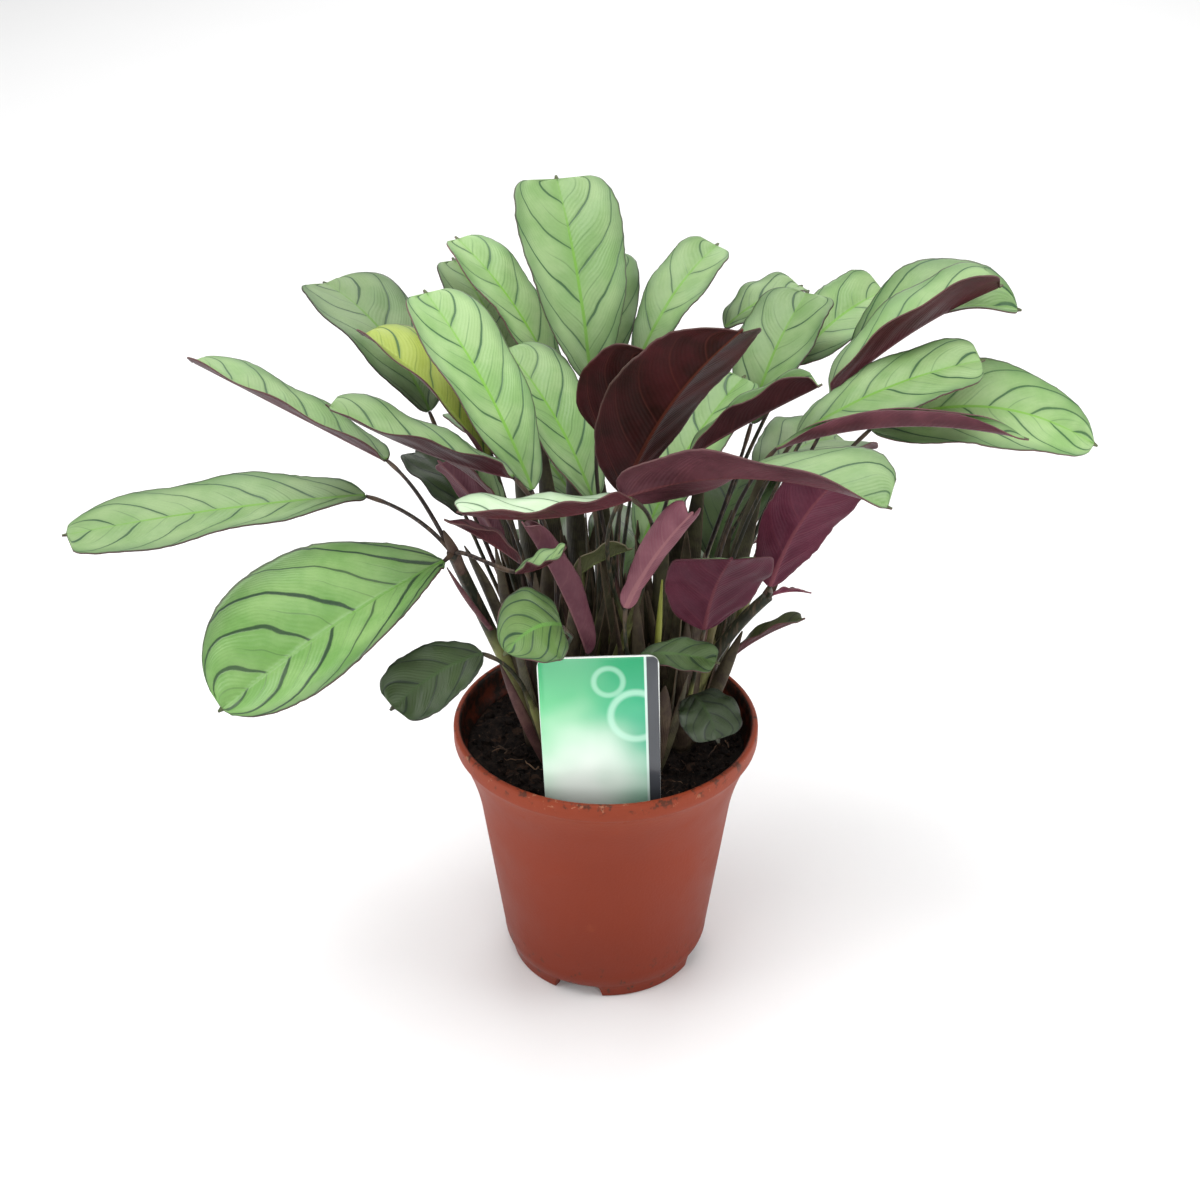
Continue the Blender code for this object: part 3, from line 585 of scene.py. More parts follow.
lean_left = Matrix.Rotation(-math.radians(CARD_LEAN_LEFT), 4, "Y")
lean_back = Matrix.Rotation(-math.radians(CARD_LEAN_BACK), 4, "X")
stand = Matrix.Translation(CARD_FOOT * MM) @ lean_left @ lean_back
bmesh.ops.transform(card_shape, matrix=stand, verts=card_shape.verts)
card_faces = [card_print(), card_plastic()]
finished_piece("plain_care_card", card_shape, card_faces, ["care_card"], sharp=30)


# ---- Leaf blades
# Each leaf is one thin oblong blade with a blunt, slightly off-centre tip. Its upper side is pale
# green with a dark fishbone of side veins that leave the midrib in turn, left and right, and bend
# along the margin; it is quilted between the veins. Its underside is wine red.

CANES = {
    "left_cane": ("shoot_left_front", ((-20, -14, 100), (-42, -14, 155), (-55, -33, 203))),
    "right_cane": ("shoot_right", ((30, -2, 100), (40, -4, 138), (61, -10, 172))),
}

# What each leaf grows from, where its blade starts and ends, its width, how far its midrib bows,
# its roll, and how steeply its left and right halves fold up: at the base, then at the tip where
# that differs.
LEAVES = {
    "leaf_left_1": ("left_cane", (-88, -10, 214), (-188, -44, 216), 36, 2, 8, (22, 22), (-8, -5)),
    "leaf_left_2": ("left_cane", (-82, 10, 219), (-158, 45, 244), 30, 0, 0, (44, 0), (36, 4)),
    "leaf_left_3": ("left_cane", (-58, -38, 202), (-128, -98, 179), 54, 3, 39, (52, 0), (30, 3)),
    "leaf_left_4": ("left_cane", (-32, -42, 200), (-15, -46, 211), 14, -2, 0, (60, 70), (0, 0)),
    "young_leaf_left": ("shoot_left_front", (-31, -26, 195), (-56, -32, 215), 11, 1, 0, (66, 45)),
    "leaf_front_1": ("shoot_left_front", (-45, -45, 168), (-75, -68, 160), 24, 3, 35, (5, 5)),
    "leaf_front_2": ("shoot_left_front", (-16, -62, 190), (-34, -80, 190), 29, 4, 40, (5, 5)),
    "leaf_left_5": ("shoot_left_front", (-33, -25, 229), (-97, -18, 253), 31, -3, 0, (60, 14), (20, 14)),
    "leaf_left_6": ("shoot_left_back", (-38, -12, 211), (-67, -8, 232), 17, 3, 20, (58, 40)),
    "leaf_left_7": ("shoot_left_back", (-54, 16, 193), (-73, 38, 209), 25, 4, 0, (10, 10)),
    "leaf_left_8": ("shoot_left_back", (-40, 9, 183), (-61, 3, 221), 13, 2, -50, (15, 15)),
    "leaf_left_9": ("shoot_left_back", (-45, 14, 217), (-91, 40, 257), 36, 5, 0, (42, 10), (34, 10)),
    "rolled_leaf_front": ("shoot_left_front", (-7, -26, 157), (-29, -35, 215), 17, 2, 0, (58, 58)),
    "leaf_left_10": ("shoot_left_back", (-69, 48, 222), (-112, 90, 259), 40, 8, 0, (12, 12)),
    "leaf_middle_1": ("shoot_middle", (-27, -15, 219), (-66, 30, 277), 33, 5, 0, (10, 10)),
    "leaf_middle_2": ("shoot_middle", (-5, 10, 202), (-38, 45, 249), 34, 5, 0, (14, 14)),
    "leaf_middle_3": ("shoot_middle", (-19, 52, 231), (-58, 85, 279), 27, 5, 0, (12, 12)),
    "leaf_middle_4": ("shoot_middle", (-31, 63, 219), (-61, 100, 265), 30, 4, 0, (12, 12)),
    "leaf_top_1": ("shoot_back", (-6, 45, 236), (-19, 85, 303), 42, 6, 0, (10, 10)),
    "leaf_top_2": ("shoot_back", (-3, 68, 225), (0, 104, 267), 30, 4, 0, (10, 10)),
    "leaf_top_3": ("shoot_back", (13, 60, 238), (44, 95, 273), 24, 5, -10, (12, 12)),
    "leaf_top_4": ("shoot_back", (6, -18, 219), (43, -49, 293), 38, 5, 48, (32, 8), (34, 8)),
    "leaf_top_5": ("shoot_right_back", (-3, 8, 232), (18, -5, 266), 33, 2, 60, (8, 8)),
    "leaf_front_3": ("shoot_middle", (8, -52, 234), (-47, -82, 244), 27, -4, -12, (46, 22), (12, 20)),
    "leaf_right_1": ("shoot_right_back", (6, -36, 227), (92, -72, 241), 41, 9, 6, (-50, 52), (46, 26)),
    "leaf_right_2": ("shoot_right_back", (14, 14, 181), (53, 50, 235), 34, 6, 0, (12, 12)),
    "leaf_right_3": ("shoot_right_back", (30, 0, 225), (76, 0, 253), 19, 1, 0, (70, 75)),
    "leaf_right_4": ("shoot_right_back", (57, 48, 217), (79, 76, 260), 34, 5, 0, (12, 12)),
    "leaf_right_5": ("shoot_right_back", (48, 80, 244), (78, 95, 256), 25, 3, 0, (12, 12)),
    "leaf_right_6": ("shoot_right_back", (75, 72, 232), (113, 100, 252), 29, 4, -24, (12, 12)),
    "leaf_right_7": ("shoot_right", (97, 61, 231), (157, 53, 262), 46, 12, -25, (4, 46), (14, 44)),
    "leaf_right_8": ("shoot_right", (85, 30, 237), (146, 40, 276), 40, 4, 0, (20, 52), (20, 46)),
    "leaf_right_9": ("shoot_right", (71, 10, 229), (136, 12, 258), 31, 4, -25, (-5, 12)),
    "leaf_right_10": ("shoot_right", (102, 34, 221), (184, 20, 221), 40, 12, -32, (10, 10)),
    "rolled_leaf_right": ("shoot_right", (62, -5, 231), (146, -25, 244), 14, 7, 0, (70, 85)),
    "leaf_right_11": ("right_cane", (60, -25, 185), (82, -48, 243), 28, 4, 45, (8, 8)),
    "young_leaf_right": ("right_cane", (63, -10, 173), (75, -14, 176), 7, 1, 30, (30, 30)),
    "rolled_leaf_middle": ("shoot_right_front", (7, -39, 184), (28, -62, 233), 21, 2, 50, (54, 54)),
    "young_leaf_middle": ("shoot_middle", (-15, -18, 181), (8, -16, 195), 12, 2, 50, (30, 30)),
    "leaf_front_4": ("shoot_right", (36, -29, 169), (43, -51, 210), 38, 3, 10, (5, 5)),
    "leaf_front_5": ("shoot_right", (47, 10, 130), (75, -2, 157), 10, 2, 0, (50, 40)),
    "leaf_front_6": ("shoot_right_front", (13, -30, 158), (40, -38, 160), 14, 2, -25, (10, 5)),
    "leaf_front_7": ("shoot_right_front", (33, -31, 141), (41, -48, 133), 23, 3, -10, (5, 5)),
    "leaf_back_1": ("shoot_back", (-13, 54, 181), (-58, 97.2, 200), 43, 8, 0, (12, 12)),
    "leaf_back_2": ("shoot_back", (14, 60, 198), (34, 100, 193), 43, 8, 0, (10, 10)),
    "leaf_back_3": ("shoot_right_back", (63, 56, 188), (103, 95, 186), 42, 8, 0, (12, 12)),
    "leaf_back_4": ("shoot_back", (6, 55, 140), (20, 100, 150), 44, 7, 0, (10, 10)),
    "leaf_back_5": ("shoot_back", (-14, 54, 158), (-42, 96, 141), 42, 6, 0, (10, 10)),
    "leaf_back_6": ("shoot_right_back", (44, 45, 158), (60, 74, 187), 34, 5, 0, (8, 8)),
    "leaf_back_7": ("shoot_right_back", (36, 60, 148), (54, 100, 136), 34, 5, 0, (12, 12)),
}

# Departures from a plain leaf: twist along the blade, how full its base is, how blunt its tip is,
# how far the tip leans to one side, how much wider its right half is, how far its stalk runs up
# before it bends, and the share of the stalk's slope that it has where it leaves the crown.
PLAIN = {
    "twist": 0.0,
    "full": 0.5,
    "blunt": 0.23,
    "lean": 0.05,
    "bias": 0.0,
    "upright": 0.4,
    "spread": 0.5,
}
SHAPES = {
    "leaf_left_1": {"twist": -10},
    "leaf_left_2": {"full": 0.38},
    "leaf_left_3": {"twist": 14, "full": 0.7, "blunt": 0.5, "lean": -0.05, "bias": 0.17},
    "young_leaf_left": {"blunt": 0.6},
    "leaf_front_2": {"full": 0.4, "blunt": 0.55, "upright": 0.9, "spread": 0.28},
    "rolled_leaf_front": {"full": 0.4, "blunt": 0.3},
    "leaf_top_1": {"full": 0.55, "blunt": 0.17},
    "leaf_top_4": {"twist": -9, "full": 0.55, "blunt": 0.37, "lean": 0.5, "bias": 0.12},
    "leaf_top_5": {"blunt": 0.4},
    "leaf_right_1": {"twist": -10, "full": 0.4, "blunt": 0.26, "lean": 0.05},
    "leaf_right_4": {"lean": -0.3},
    "leaf_right_7": {"twist": -10, "full": 0.7, "blunt": 0.52, "lean": -0.25, "bias": -0.1},
    "leaf_right_10": {"blunt": 0.55, "lean": -0.2},
    "rolled_leaf_right": {"full": 0.6, "blunt": 0.6},
    "young_leaf_right": {"blunt": 0.7},
    "rolled_leaf_middle": {"full": 0.45},
    "leaf_front_7": {"full": 0.38},
    "leaf_back_2": {"blunt": 0.3},
}

# Young leaves still rolled into a tube: how steeply each half leaves the midrib, and how much
# further it has curled over by its margin.
ROLLED = {
    "rolled_leaf_front": (20, 110),
    "rolled_leaf_middle": (20, 80),
    "rolled_leaf_right": (30, 110),
}

# The leaves that aren't plain, by their finish: the record's slot, the upper side and the underside.
FINISHES = {
    ("green_leaf", "fresh_green", "maroon_back"): ("leaf_left_3",),
    ("green_leaf", "young_green", "maroon_back"): ("leaf_front_2",),
    # Leaves low under the canopy and behind others: their dark green top is painted shade.
    ("dark_leaf", "dark_green", "maroon_back"): (
        "leaf_front_1",
        "leaf_front_6",
        "leaf_front_7",
        "leaf_left_7",
    ),
    ("dark_leaf", "dark_olive", "maroon_back"): ("leaf_front_5",),
    # Its whitish top is a painted highlight on a glossy pale green leaf.
    ("green_leaf", "silver_green", "maroon_back"): ("leaf_front_3",),
    # Back leaves seen between the stalks: their dark green top is painted shade.
    ("green_leaf", "dark_green", "maroon_back"): (
        "leaf_back_4",
        "leaf_back_5",
        "leaf_back_6",
        "leaf_back_7",
    ),
    ("olive_leaf", "olive_green", "maroon_back"): ("leaf_left_9",),
    ("green_leaf", "pale_green", "plum_back"): ("leaf_right_1",),
    ("olive_leaf", "dark_olive", "moss_back"): ("young_leaf_middle",),
    ("pink_leaf", "pale_green", "rose_back"): ("leaf_left_8", "rolled_leaf_middle"),
    ("pink_leaf", "wine_top", "rose_back"): ("rolled_leaf_front",),
    ("purple_leaf", "pale_green", "maroon_back"): ("leaf_right_3", "leaf_left_6"),
    ("purple_leaf", "pale_green", "magenta_back"): ("leaf_right_11", "leaf_front_4"),
    ("purple_leaf", "pale_green", "brown_back"): ("leaf_top_4", "leaf_top_5"),
    ("purple_leaf", "pale_green", "plum_back"): ("rolled_leaf_right",),
    ("purple_leaf", "wine_top", "maroon_back"): ("young_leaf_left",),
    ("purple_leaf", "wine_top", "magenta_back"): ("young_leaf_right",),
}

PLAIN_FINISH = ("green_leaf", "pale_green", "maroon_back")
FINISH_OF = {name: finish for finish, names in FINISHES.items() for name in names}

# Leaves with side veins broader than plain.
BOLD = {"leaf_left_3": 1.9, "leaf_right_7": 1.8, "leaf_right_10": 1.3, "leaf_middle_3": 1.3}

# How light each leaf is, where it isn't plain: 0.5 is the finish's own colour. It is partly the leaf's
# own tone and partly painted light and shade: leaves in full light are made lighter, and leaves shaded
# by others darker.
TONES_AND_PAINTED_LIGHT = {
    "leaf_middle_1": 0.78, "leaf_middle_3": 0.9, "leaf_left_1": 0.25, "leaf_left_3": 0.3,
    "leaf_left_5": 0.25, "leaf_left_10": -0.1, "leaf_middle_4": 0.05, "leaf_top_1": 0.45,
    "leaf_top_2": 0.1, "leaf_top_3": 0.42, "leaf_front_2": 0.65, "leaf_front_3": 0.6,
    "leaf_right_1": 0.38, "leaf_right_4": 0.15, "leaf_right_5": 0.2, "leaf_right_10": 0.85,
    "leaf_top_4": 0.35, "leaf_front_4": 0.12, "leaf_right_11": 0.3, "rolled_leaf_middle": 0.55,
    "rolled_leaf_front": 0.22, "rolled_leaf_right": 0.45, "leaf_front_7": -0.6,
    "leaf_front_1": -0.2, "leaf_left_7": -0.55, "leaf_left_8": 0.15, "leaf_left_6": 0.5,
}

BLADE_ROWS = 61
BLADE_COLUMNS = 29
SMALL_LEAF = 30.0
SMALL_ROWS = 41
SMALL_COLUMNS = 21
BLADE_THICKNESS = 0.5
MIDRIB_THICKNESS = 1.3
MIDRIB_THINS = 0.55
MIDRIB_SPREAD = 1.4
RIB_HALF_WIDTH = 1.15
RIB_TAPER = 0.62
NECK_HALF_WIDTH = 1.2
TIP_REACH = 1.7
TIP_HALF_WIDTH = 0.35
MARGIN_WAVE = 1.0
MARGIN_WAVES = 2.5
FLAT_HALF_WIDTH = 1.0
FOLD_EASE = 5.0
VEIN_SPACING = 18.0
QUILT = 0.30
GROOVE = 0.35
GROOVE_HALF_WIDTH = 1.3
LEAST_HALF_WIDTH = 0.9


class Blade:
    """The bent surface of one leaf, from its row of the tables."""

    def __init__(self, name):
        self.name = name
        self.source, base, tip, self.width, self.arch, self.roll, *folds = LEAVES[name]
        self.fold_base, self.fold_tip = folds[0], folds[-1]
        self.shape = {**PLAIN, **SHAPES.get(name, {})}
        self.base, self.tip = Vector(base), Vector(tip)
        self.chord = self.tip - self.base
        along = self.chord.normalized()
        self.side = along.cross(Vector((0.0, 0.0, 1.0))).normalized()
        self.up = self.side.cross(along)
        self.veins = max(3, round(self.chord.length / VEIN_SPACING))

    def midrib(self, s):
        """A point of the midrib; s runs from 0 at the stalk to 1 at the tip."""
        bow = 4 * s * (1 - s)
        return self.base + self.chord * s + self.up * (bow * self.arch)

    def tangent(self, s):
        """The way the midrib runs at this place."""
        return (self.midrib(min(s + 0.001, 1.0)) - self.midrib(max(s - 0.001, 0.0))).normalized()

    def half_width(self, s, hand):
        """Distance from midrib to margin; hand is 1 on the right half and -1 on the left."""
        full = self.shape["full"]
        blunt = self.shape["blunt"] * (1 + hand * self.shape["lean"])
        widest = full / (full + blunt)
        peak = widest**full * (1 - widest) ** blunt
        share = 0.5 * (1 + hand * self.shape["bias"])
        return max(LEAST_HALF_WIDTH, share * self.width * s**full * (1 - s) ** blunt / peak)

    def climb(self, across):
        """How far up the blade a side vein is, as a share of the length, at this place across."""
        return 0.5 * self.width / self.chord.length * (0.85 * across + 0.75 * across**4)

    def point(self, s, across, half_width, frame_at):
        """A point of the blade; across runs from -1 at the left margin to 1 at the right."""
        origin, rolled_side, rolled_normal = frame_at
        right = across > 0
        hand = 1 if right else -1
        fold = self.fold_base[right] + (self.fold_tip[right] - self.fold_base[right]) * s
        fold *= min(max(half_width - FLAT_HALF_WIDTH, 0.0) / FOLD_EASE, 1.0)
        reach = half_width * abs(across)
        out = reach * math.cos(math.radians(fold))
        lift = reach * math.sin(math.radians(fold))
        wave = math.sin(2 * math.pi * (MARGIN_WAVES * s + (0.25 if right else 0.0)))
        broad = min(half_width / 8, 1.0)
        if self.name in ROLLED:
            open_up = min(max(half_width - FLAT_HALF_WIDTH, 0.02) / FOLD_EASE, 1.0)
            start, curl = (math.radians(angle) * open_up for angle in ROLLED[self.name])
            end = start + curl * abs(across)
            out = half_width * (math.sin(end) - math.sin(start)) / curl
            lift = half_width * (math.cos(start) - math.cos(end)) / curl
            wave *= 0.3
        lift += MARGIN_WAVE * across**2 * wave * broad
        count = self.vein_place(s, across) + (0.5 if right else 0.0)
        quilt = math.cos(2 * math.pi * count) * min(abs(across) * 4, 1.0) * (1 - across**4)
        lift += QUILT * quilt * broad
        lift -= GROOVE * math.exp(-((reach / GROOVE_HALF_WIDTH) ** 2)) * broad
        return origin + rolled_side * (hand * out) + rolled_normal * lift

    def vein_place(self, s, across):
        """How many side veins leave the midrib below this place."""
        return (s - self.climb(abs(across))) * self.veins

    def frame_at(self, s):
        """Midrib point, side and normal of the blade's cross-section."""
        tangent = self.tangent(s)
        side = (self.side - tangent * tangent.dot(self.side)).normalized()
        normal = side.cross(tangent)
        roll = math.radians(self.roll + self.shape["twist"] * (s - 0.5))
        rolled_side = side * math.cos(roll) + normal * math.sin(roll)
        rolled_normal = normal * math.cos(roll) - side * math.sin(roll)
        return self.midrib(s), rolled_side, rolled_normal


def leaf_numbers(name):
    """A leaf material, and what its shading reads from the mesh."""
    material, place = new_material(name)
    tree = place.tree
    across, count, _ = node(tree, "ShaderNodeUVMap", {"uv_map": "veins"}).parts()
    rib_place, per_mm, _ = node(tree, "ShaderNodeUVMap", {"uv_map": "sizes"}).parts()
    bold, tone, _ = node(tree, "ShaderNodeAttribute", {"attribute_name": "look"}, "Vector").parts()
    along = node(tree, "ShaderNodeAttribute", {"attribute_name": "look"}, "Alpha")
    right = calc("GREATER_THAN", across, 0.0)
    return material, place, abs(across), right, count, abs(rib_place), per_mm, bold, tone, along


def leaf_surface(material, place, colour, dull, ridge, specular=0.5):
    """Finish a leaf material, with a fine grain added to its ridges."""
    ridge = ridge + grain(place, 700.0) * 0.35
    return finish(material, colour, dull, specular, bump=(ridge, 0.5, 0.0004))


def leaf_top(name, base, patch, vein, rib, gloss):
    """Upper side: blotchy green, the fishbone of side veins, a bright midrib, a thin dark margin line,
    and painted shade that darkens the blade towards its margin and its base.
    """
    material, place, out, right, count, rib_place, per_mm, bold, tone, along = leaf_numbers(name)
    wobble = (grain(place, 70.0, 1.0) - 0.5) * 0.34
    count = count + wobble + right * 0.5
    off = abs(calc("FRACT", count) - 0.5)
    which = node(place.tree, "ShaderNodeCombineXYZ", i0=calc("FLOOR", count), i1=tone, i2=right)
    chance = node(place.tree, "ShaderNodeTexWhiteNoise", {"noise_dimensions": "2D"}, i0=which)
    bold = bold * (chance * 0.8 + 0.6)
    swell = ease(out, 0.0, 0.3, 0.45, 1.0)
    fade = ease(out, 0.25, 1.0, 1.0, 0.25)
    ragged = grain(place, 420.0) * 0.7 + 0.65
    half = swell * fade * (bold * ragged) * 0.38
    far = off / per_mm
    line = ease(far, half + 0.2, half * 0.55) * (chance * 0.25 + 0.72)
    glow = ease(far, 1.8, 0.3) * ease(out, 1.0, 0.2, 0.05, 0.16)
    middle = abs(calc("FRACT", count + 0.5) - 0.5)
    small = ease(middle / per_mm, 0.34, 0.1)
    small = small * ease(out - chance * 0.45, 0.3, 0.05, 0.0, 0.34)
    threads = calc("SINE", count * (2 * math.pi * 9))

    blotch = grain(place, 55.0, 4.0, 0.6)
    green = tint(ease(blotch, 0.32, 0.68), base, patch)
    green = tint(ease(out, 0.3, 0.02, 0.0, 0.18), green, rib)
    green = tint(threads * 0.012 + 0.012, green, vein)
    for marks in (glow, small, line):
        green = tint(marks, green, vein)
    midrib = ease(rib_place, 0.95, 0.6) * ease(along, 1.0, 0.55, 0.35, 1.0)
    green = tint(midrib, green, rib)
    green = tint(ease(along, 0.998, 1.0, 0.0, 0.8), green, (0.06, 0.05, 0.02))
    # Painted shade: the blade darkens towards its margin.
    green = tint(ease(out, 0.66, 1.0, 0.0, 0.42), green, vein)
    green = tint(ease(out, 0.965, 0.985) * 0.7, green, (0.05, 0.045, 0.035))
    # Painted light and shade: the tone sets the leaf's brightness, and the blade is painted darker
    # towards its base.
    light = (tone * 0.6 + 0.7) * ease(along, 0.0, 0.4, 0.58, 1.0)
    dull = ease(blotch, 0.3, 0.7, gloss - 0.06, gloss + 0.08)
    ridge = threads * 0.1 - line * 0.6
    return leaf_surface(material, place, brighten(green, light), dull, ridge)


def leaf_back(name, base, patch, rib, gloss):
    """Underside: wine red, with fine raised veins, a lighter midrib and a slightly paler margin."""
    material, place, out, right, count, rib_place, per_mm, _, tone, _ = leaf_numbers(name)
    count = count + right * 0.5
    off = abs(calc("FRACT", count) - 0.5)
    line = ease(off / per_mm, 0.45, 0.08) * ease(out, 1.0, 0.3, 0.05, 0.28)
    threads = calc("SINE", count * (2 * math.pi * 8))
    blotch = grain(place, 60.0, 4.0, 0.6)
    red = tint(ease(blotch, 0.3, 0.7), base, patch)
    red = tint(threads * 0.025 + 0.025, red, rib)
    red = tint(line, red, rib)
    red = tint(ease(rib_place, 0.85, 0.45, 0.0, 0.85), red, rib)
    red = tint(ease(out, 0.965, 0.99) * 0.15, red, (0.42, 0.3, 0.26))
    # Painted light and shade: the leaf's tone sets how bright its underside is.
    light = calc("MAXIMUM", tone * 1.2 + 0.4, 0.15)
    dull = ease(blotch, 0.3, 0.7, gloss - 0.05, gloss + 0.08)
    ridge = threads * 0.14 + line * 0.6
    return leaf_surface(material, place, brighten(red, light), dull, ridge, specular=0.12)


# Upper sides: name, colour between the veins, its paler patches, veins, midrib and roughness.
TOP_LOOKS = {
    "pale_green": (
        (0.185, 0.325, 0.11), (0.265, 0.395, 0.17), (0.018, 0.08, 0.022), (0.155, 0.35, 0.045), 0.48,
    ),
    # Whitish green: a painted highlight on a glossy pale green leaf.
    "silver_green": (
        (0.4, 0.54, 0.33), (0.5, 0.62, 0.44), (0.03, 0.1, 0.03), (0.26, 0.45, 0.1), 0.45,
    ),
    "fresh_green": (
        (0.15, 0.33, 0.075), (0.24, 0.42, 0.13), (0.008, 0.04, 0.012), (0.13, 0.32, 0.04), 0.42,
    ),
    "young_green": (
        (0.115, 0.215, 0.055), (0.165, 0.275, 0.085), (0.01, 0.05, 0.018), (0.13, 0.31, 0.06), 0.45,
    ),
    # Dark green that stands in for the shade deep in the plant: painted shade.
    "dark_green": (
        (0.062, 0.115, 0.032), (0.085, 0.15, 0.045), (0.014, 0.042, 0.012), (0.075, 0.16, 0.035), 0.45,
    ),
    "wine_top": (
        (0.085, 0.022, 0.03), (0.12, 0.032, 0.042), (0.03, 0.01, 0.012), (0.16, 0.05, 0.055), 0.5,
    ),
    "dark_olive": (
        (0.04, 0.05, 0.016), (0.06, 0.072, 0.025), (0.02, 0.022, 0.01), (0.08, 0.12, 0.03), 0.5,
    ),
    "olive_green": (
        (0.26, 0.34, 0.035), (0.34, 0.42, 0.07), (0.03, 0.1, 0.015), (0.3, 0.42, 0.05), 0.45,
    ),
}
TOPS = {name: leaf_top(name, *look) for name, look in TOP_LOOKS.items()}

# Undersides: name, colour, its paler patches, veins and midrib, and roughness.
BACK_LOOKS = {
    "maroon_back": ((0.036, 0.008, 0.011), (0.062, 0.013, 0.018), (0.11, 0.03, 0.034), 0.45),
    "brown_back": ((0.022, 0.005, 0.005), (0.06, 0.009, 0.012), (0.14, 0.032, 0.022), 0.42),
    "magenta_back": ((0.094, 0.016, 0.036), (0.145, 0.031, 0.058), (0.2, 0.05, 0.068), 0.45),
    "plum_back": ((0.078, 0.025, 0.034), (0.13, 0.042, 0.055), (0.16, 0.05, 0.055), 0.42),
    "rose_back": ((0.13, 0.04, 0.06), (0.2, 0.08, 0.1), (0.25, 0.11, 0.12), 0.45),
    "moss_back": ((0.042, 0.046, 0.018), (0.06, 0.063, 0.026), (0.08, 0.095, 0.035), 0.45),
}
BACKS = {name: leaf_back(name, *look) for name, look in BACK_LOOKS.items()}


def grid_spot(vertex, columns, rows):
    """Where a point of an unbent grid lies: from -1 to 1 across, and in which row."""
    across = 2 * round((vertex.co.x + 0.5) * (columns - 1)) / (columns - 1) - 1
    return across, round((vertex.co.y + 0.5) * (rows - 1))


def make_blade(blade):
    """A fine grid bent into the blade's surface, thickened with its underside in its own colour."""
    small = blade.width < SMALL_LEAF and blade.chord.length < 2 * SMALL_LEAF
    rows = SMALL_ROWS if small else BLADE_ROWS
    columns = SMALL_COLUMNS if small else BLADE_COLUMNS
    slot, top, back = FINISH_OF.get(blade.name, PLAIN_FINISH)
    draws = random.Random(blade.name)
    # The tone is the leaf's own tone with painted light and shade, or a random tone where the table has
    # none.
    tone = TONES_AND_PAINTED_LIGHT.get(blade.name, draws.uniform(0.4, 0.6))
    bold = draws.uniform(0.8, 1.15) * BOLD.get(blade.name, 1.0)
    ragged = draws.uniform(0.2, 0.6)
    shape = bmesh.new()
    bmesh.ops.create_grid(shape, x_segments=columns - 1, y_segments=rows - 1, size=0.5)
    weights = shape.verts.layers.deform.verify()
    looks = shape.verts.layers.float_color.new("look")
    veins = shape.loops.layers.uv.new("veins")
    sizes = shape.loops.layers.uv.new("sizes")
    places = {}
    frames = {}
    length = blade.chord.length
    spacing = length / blade.veins
    for vertex in shape.verts:
        across, row = grid_spot(vertex, columns, rows)
        even = min(row / (rows - 2), 1.0)
        s = (even + (1 - math.cos(math.pi * even)) / 2) / 2
        if row not in frames:
            frames[row] = blade.frame_at(s)
        hand = 1 if across > 0 else -1
        half = blade.half_width(s, hand)
        nick = noise.noise(Vector((s * length * 0.35, hand * 5.0, tone * 50)))
        half += ragged * nick * min(half / 8, 1.0) * abs(across) ** 3
        if row == 0:
            half = NECK_HALF_WIDTH
        if row == rows - 1:
            half = TIP_HALF_WIDTH
        spot = blade.point(s, across, half, frames[row])
        if row == rows - 1:
            spot += blade.tangent(1.0) * TIP_REACH
        rib = RIB_HALF_WIDTH * (1 - RIB_TAPER * s)
        out = abs(across)
        slope = (blade.climb(out + 0.01) - blade.climb(out)) * 100 * length / max(half, 3.0)
        places[vertex] = (
            (across, blade.vein_place(s, across)),
            (across * half / rib, math.sqrt(1 + slope**2) / spacing),
        )
        raised = max(0.0, MIDRIB_THICKNESS * (1 - MIDRIB_THINS * s) - BLADE_THICKNESS)
        near = math.exp(-((across * half / MIDRIB_SPREAD) ** 2))
        vertex[weights][0] = (BLADE_THICKNESS + raised * near) / MIDRIB_THICKNESS
        vertex[looks] = (bold, tone, 0.0, s)
        vertex.co = spot * MM
    for face in shape.faces:
        for loop in face.loops:
            loop[veins].uv, loop[sizes].uv = places[loop.vert]
    bmesh.ops.recalc_face_normals(shape, faces=shape.faces)
    centre = blade.midrib(0.5) * MM
    middle = min(shape.faces, key=lambda face: (face.calc_center_median() - centre).length)
    if middle.normal.dot(frames[rows // 2][2]) < 0:
        bmesh.ops.reverse_faces(shape, faces=shape.faces)
    sides = [TOPS[top], BACKS[back]]
    piece = finished_piece(blade.name + "_blade", shape, sides, [blade.name])
    piece.vertex_groups.new(name="midrib")
    solidify = piece.modifiers.new("thickness", "SOLIDIFY")
    solidify.thickness = MIDRIB_THICKNESS * MM
    solidify.offset = 0.0
    solidify.vertex_group = "midrib"
    solidify.material_offset = 1
    solidify.material_offset_rim = 1


blades = [Blade(name) for name in LEAVES]
for blade in blades:
    make_blade(blade)


# ---- Stalks, canes and crowns
# Seven shoots rise from the soil. Each stalk is sheathed and thick for its lower part, thin and wiry
# above, and has a short paler joint just under its blade. Two shoots have a bare cane that carries
# a tuft of leaves at its top, and one stalk has been cut off and ends in a dry yellow stub.

CROWNS = {
    "shoot_left_front": (-20, -14),
    "shoot_left_back": (-22, 12),
    "shoot_middle": (-5, -2),
    "shoot_back": (2, 20),
    "shoot_right_back": (18, 8),
    "shoot_right": (30, -2),
    "shoot_right_front": (18, -18),
}
SHEATH_RADIUS = 2.25
SHEATH_END_RADIUS = 1.55
SHEATH_SHARE = 0.46
STALK_FOOT_RADIUS = 1.15
STALK_NECK_RADIUS = 0.68
STALK_STEPS = 36
STALK_GAP = 0.2
STALK_END_PULL = 0.3
MOST_SPREAD = 0.6
STALK_STRAIGHTENS = 0.35
STALK_START = 100.0
STALK_OFFSET = 1.5
JOINT_LENGTH = 9.0
CANE_FOOT_RADIUS = 2.9
CANE_TOP_RADIUS = 2.2
CANE_STALK_RADIUS = 0.85
CANE_OVERLAP = 2.0
CANE_STEPS = 30
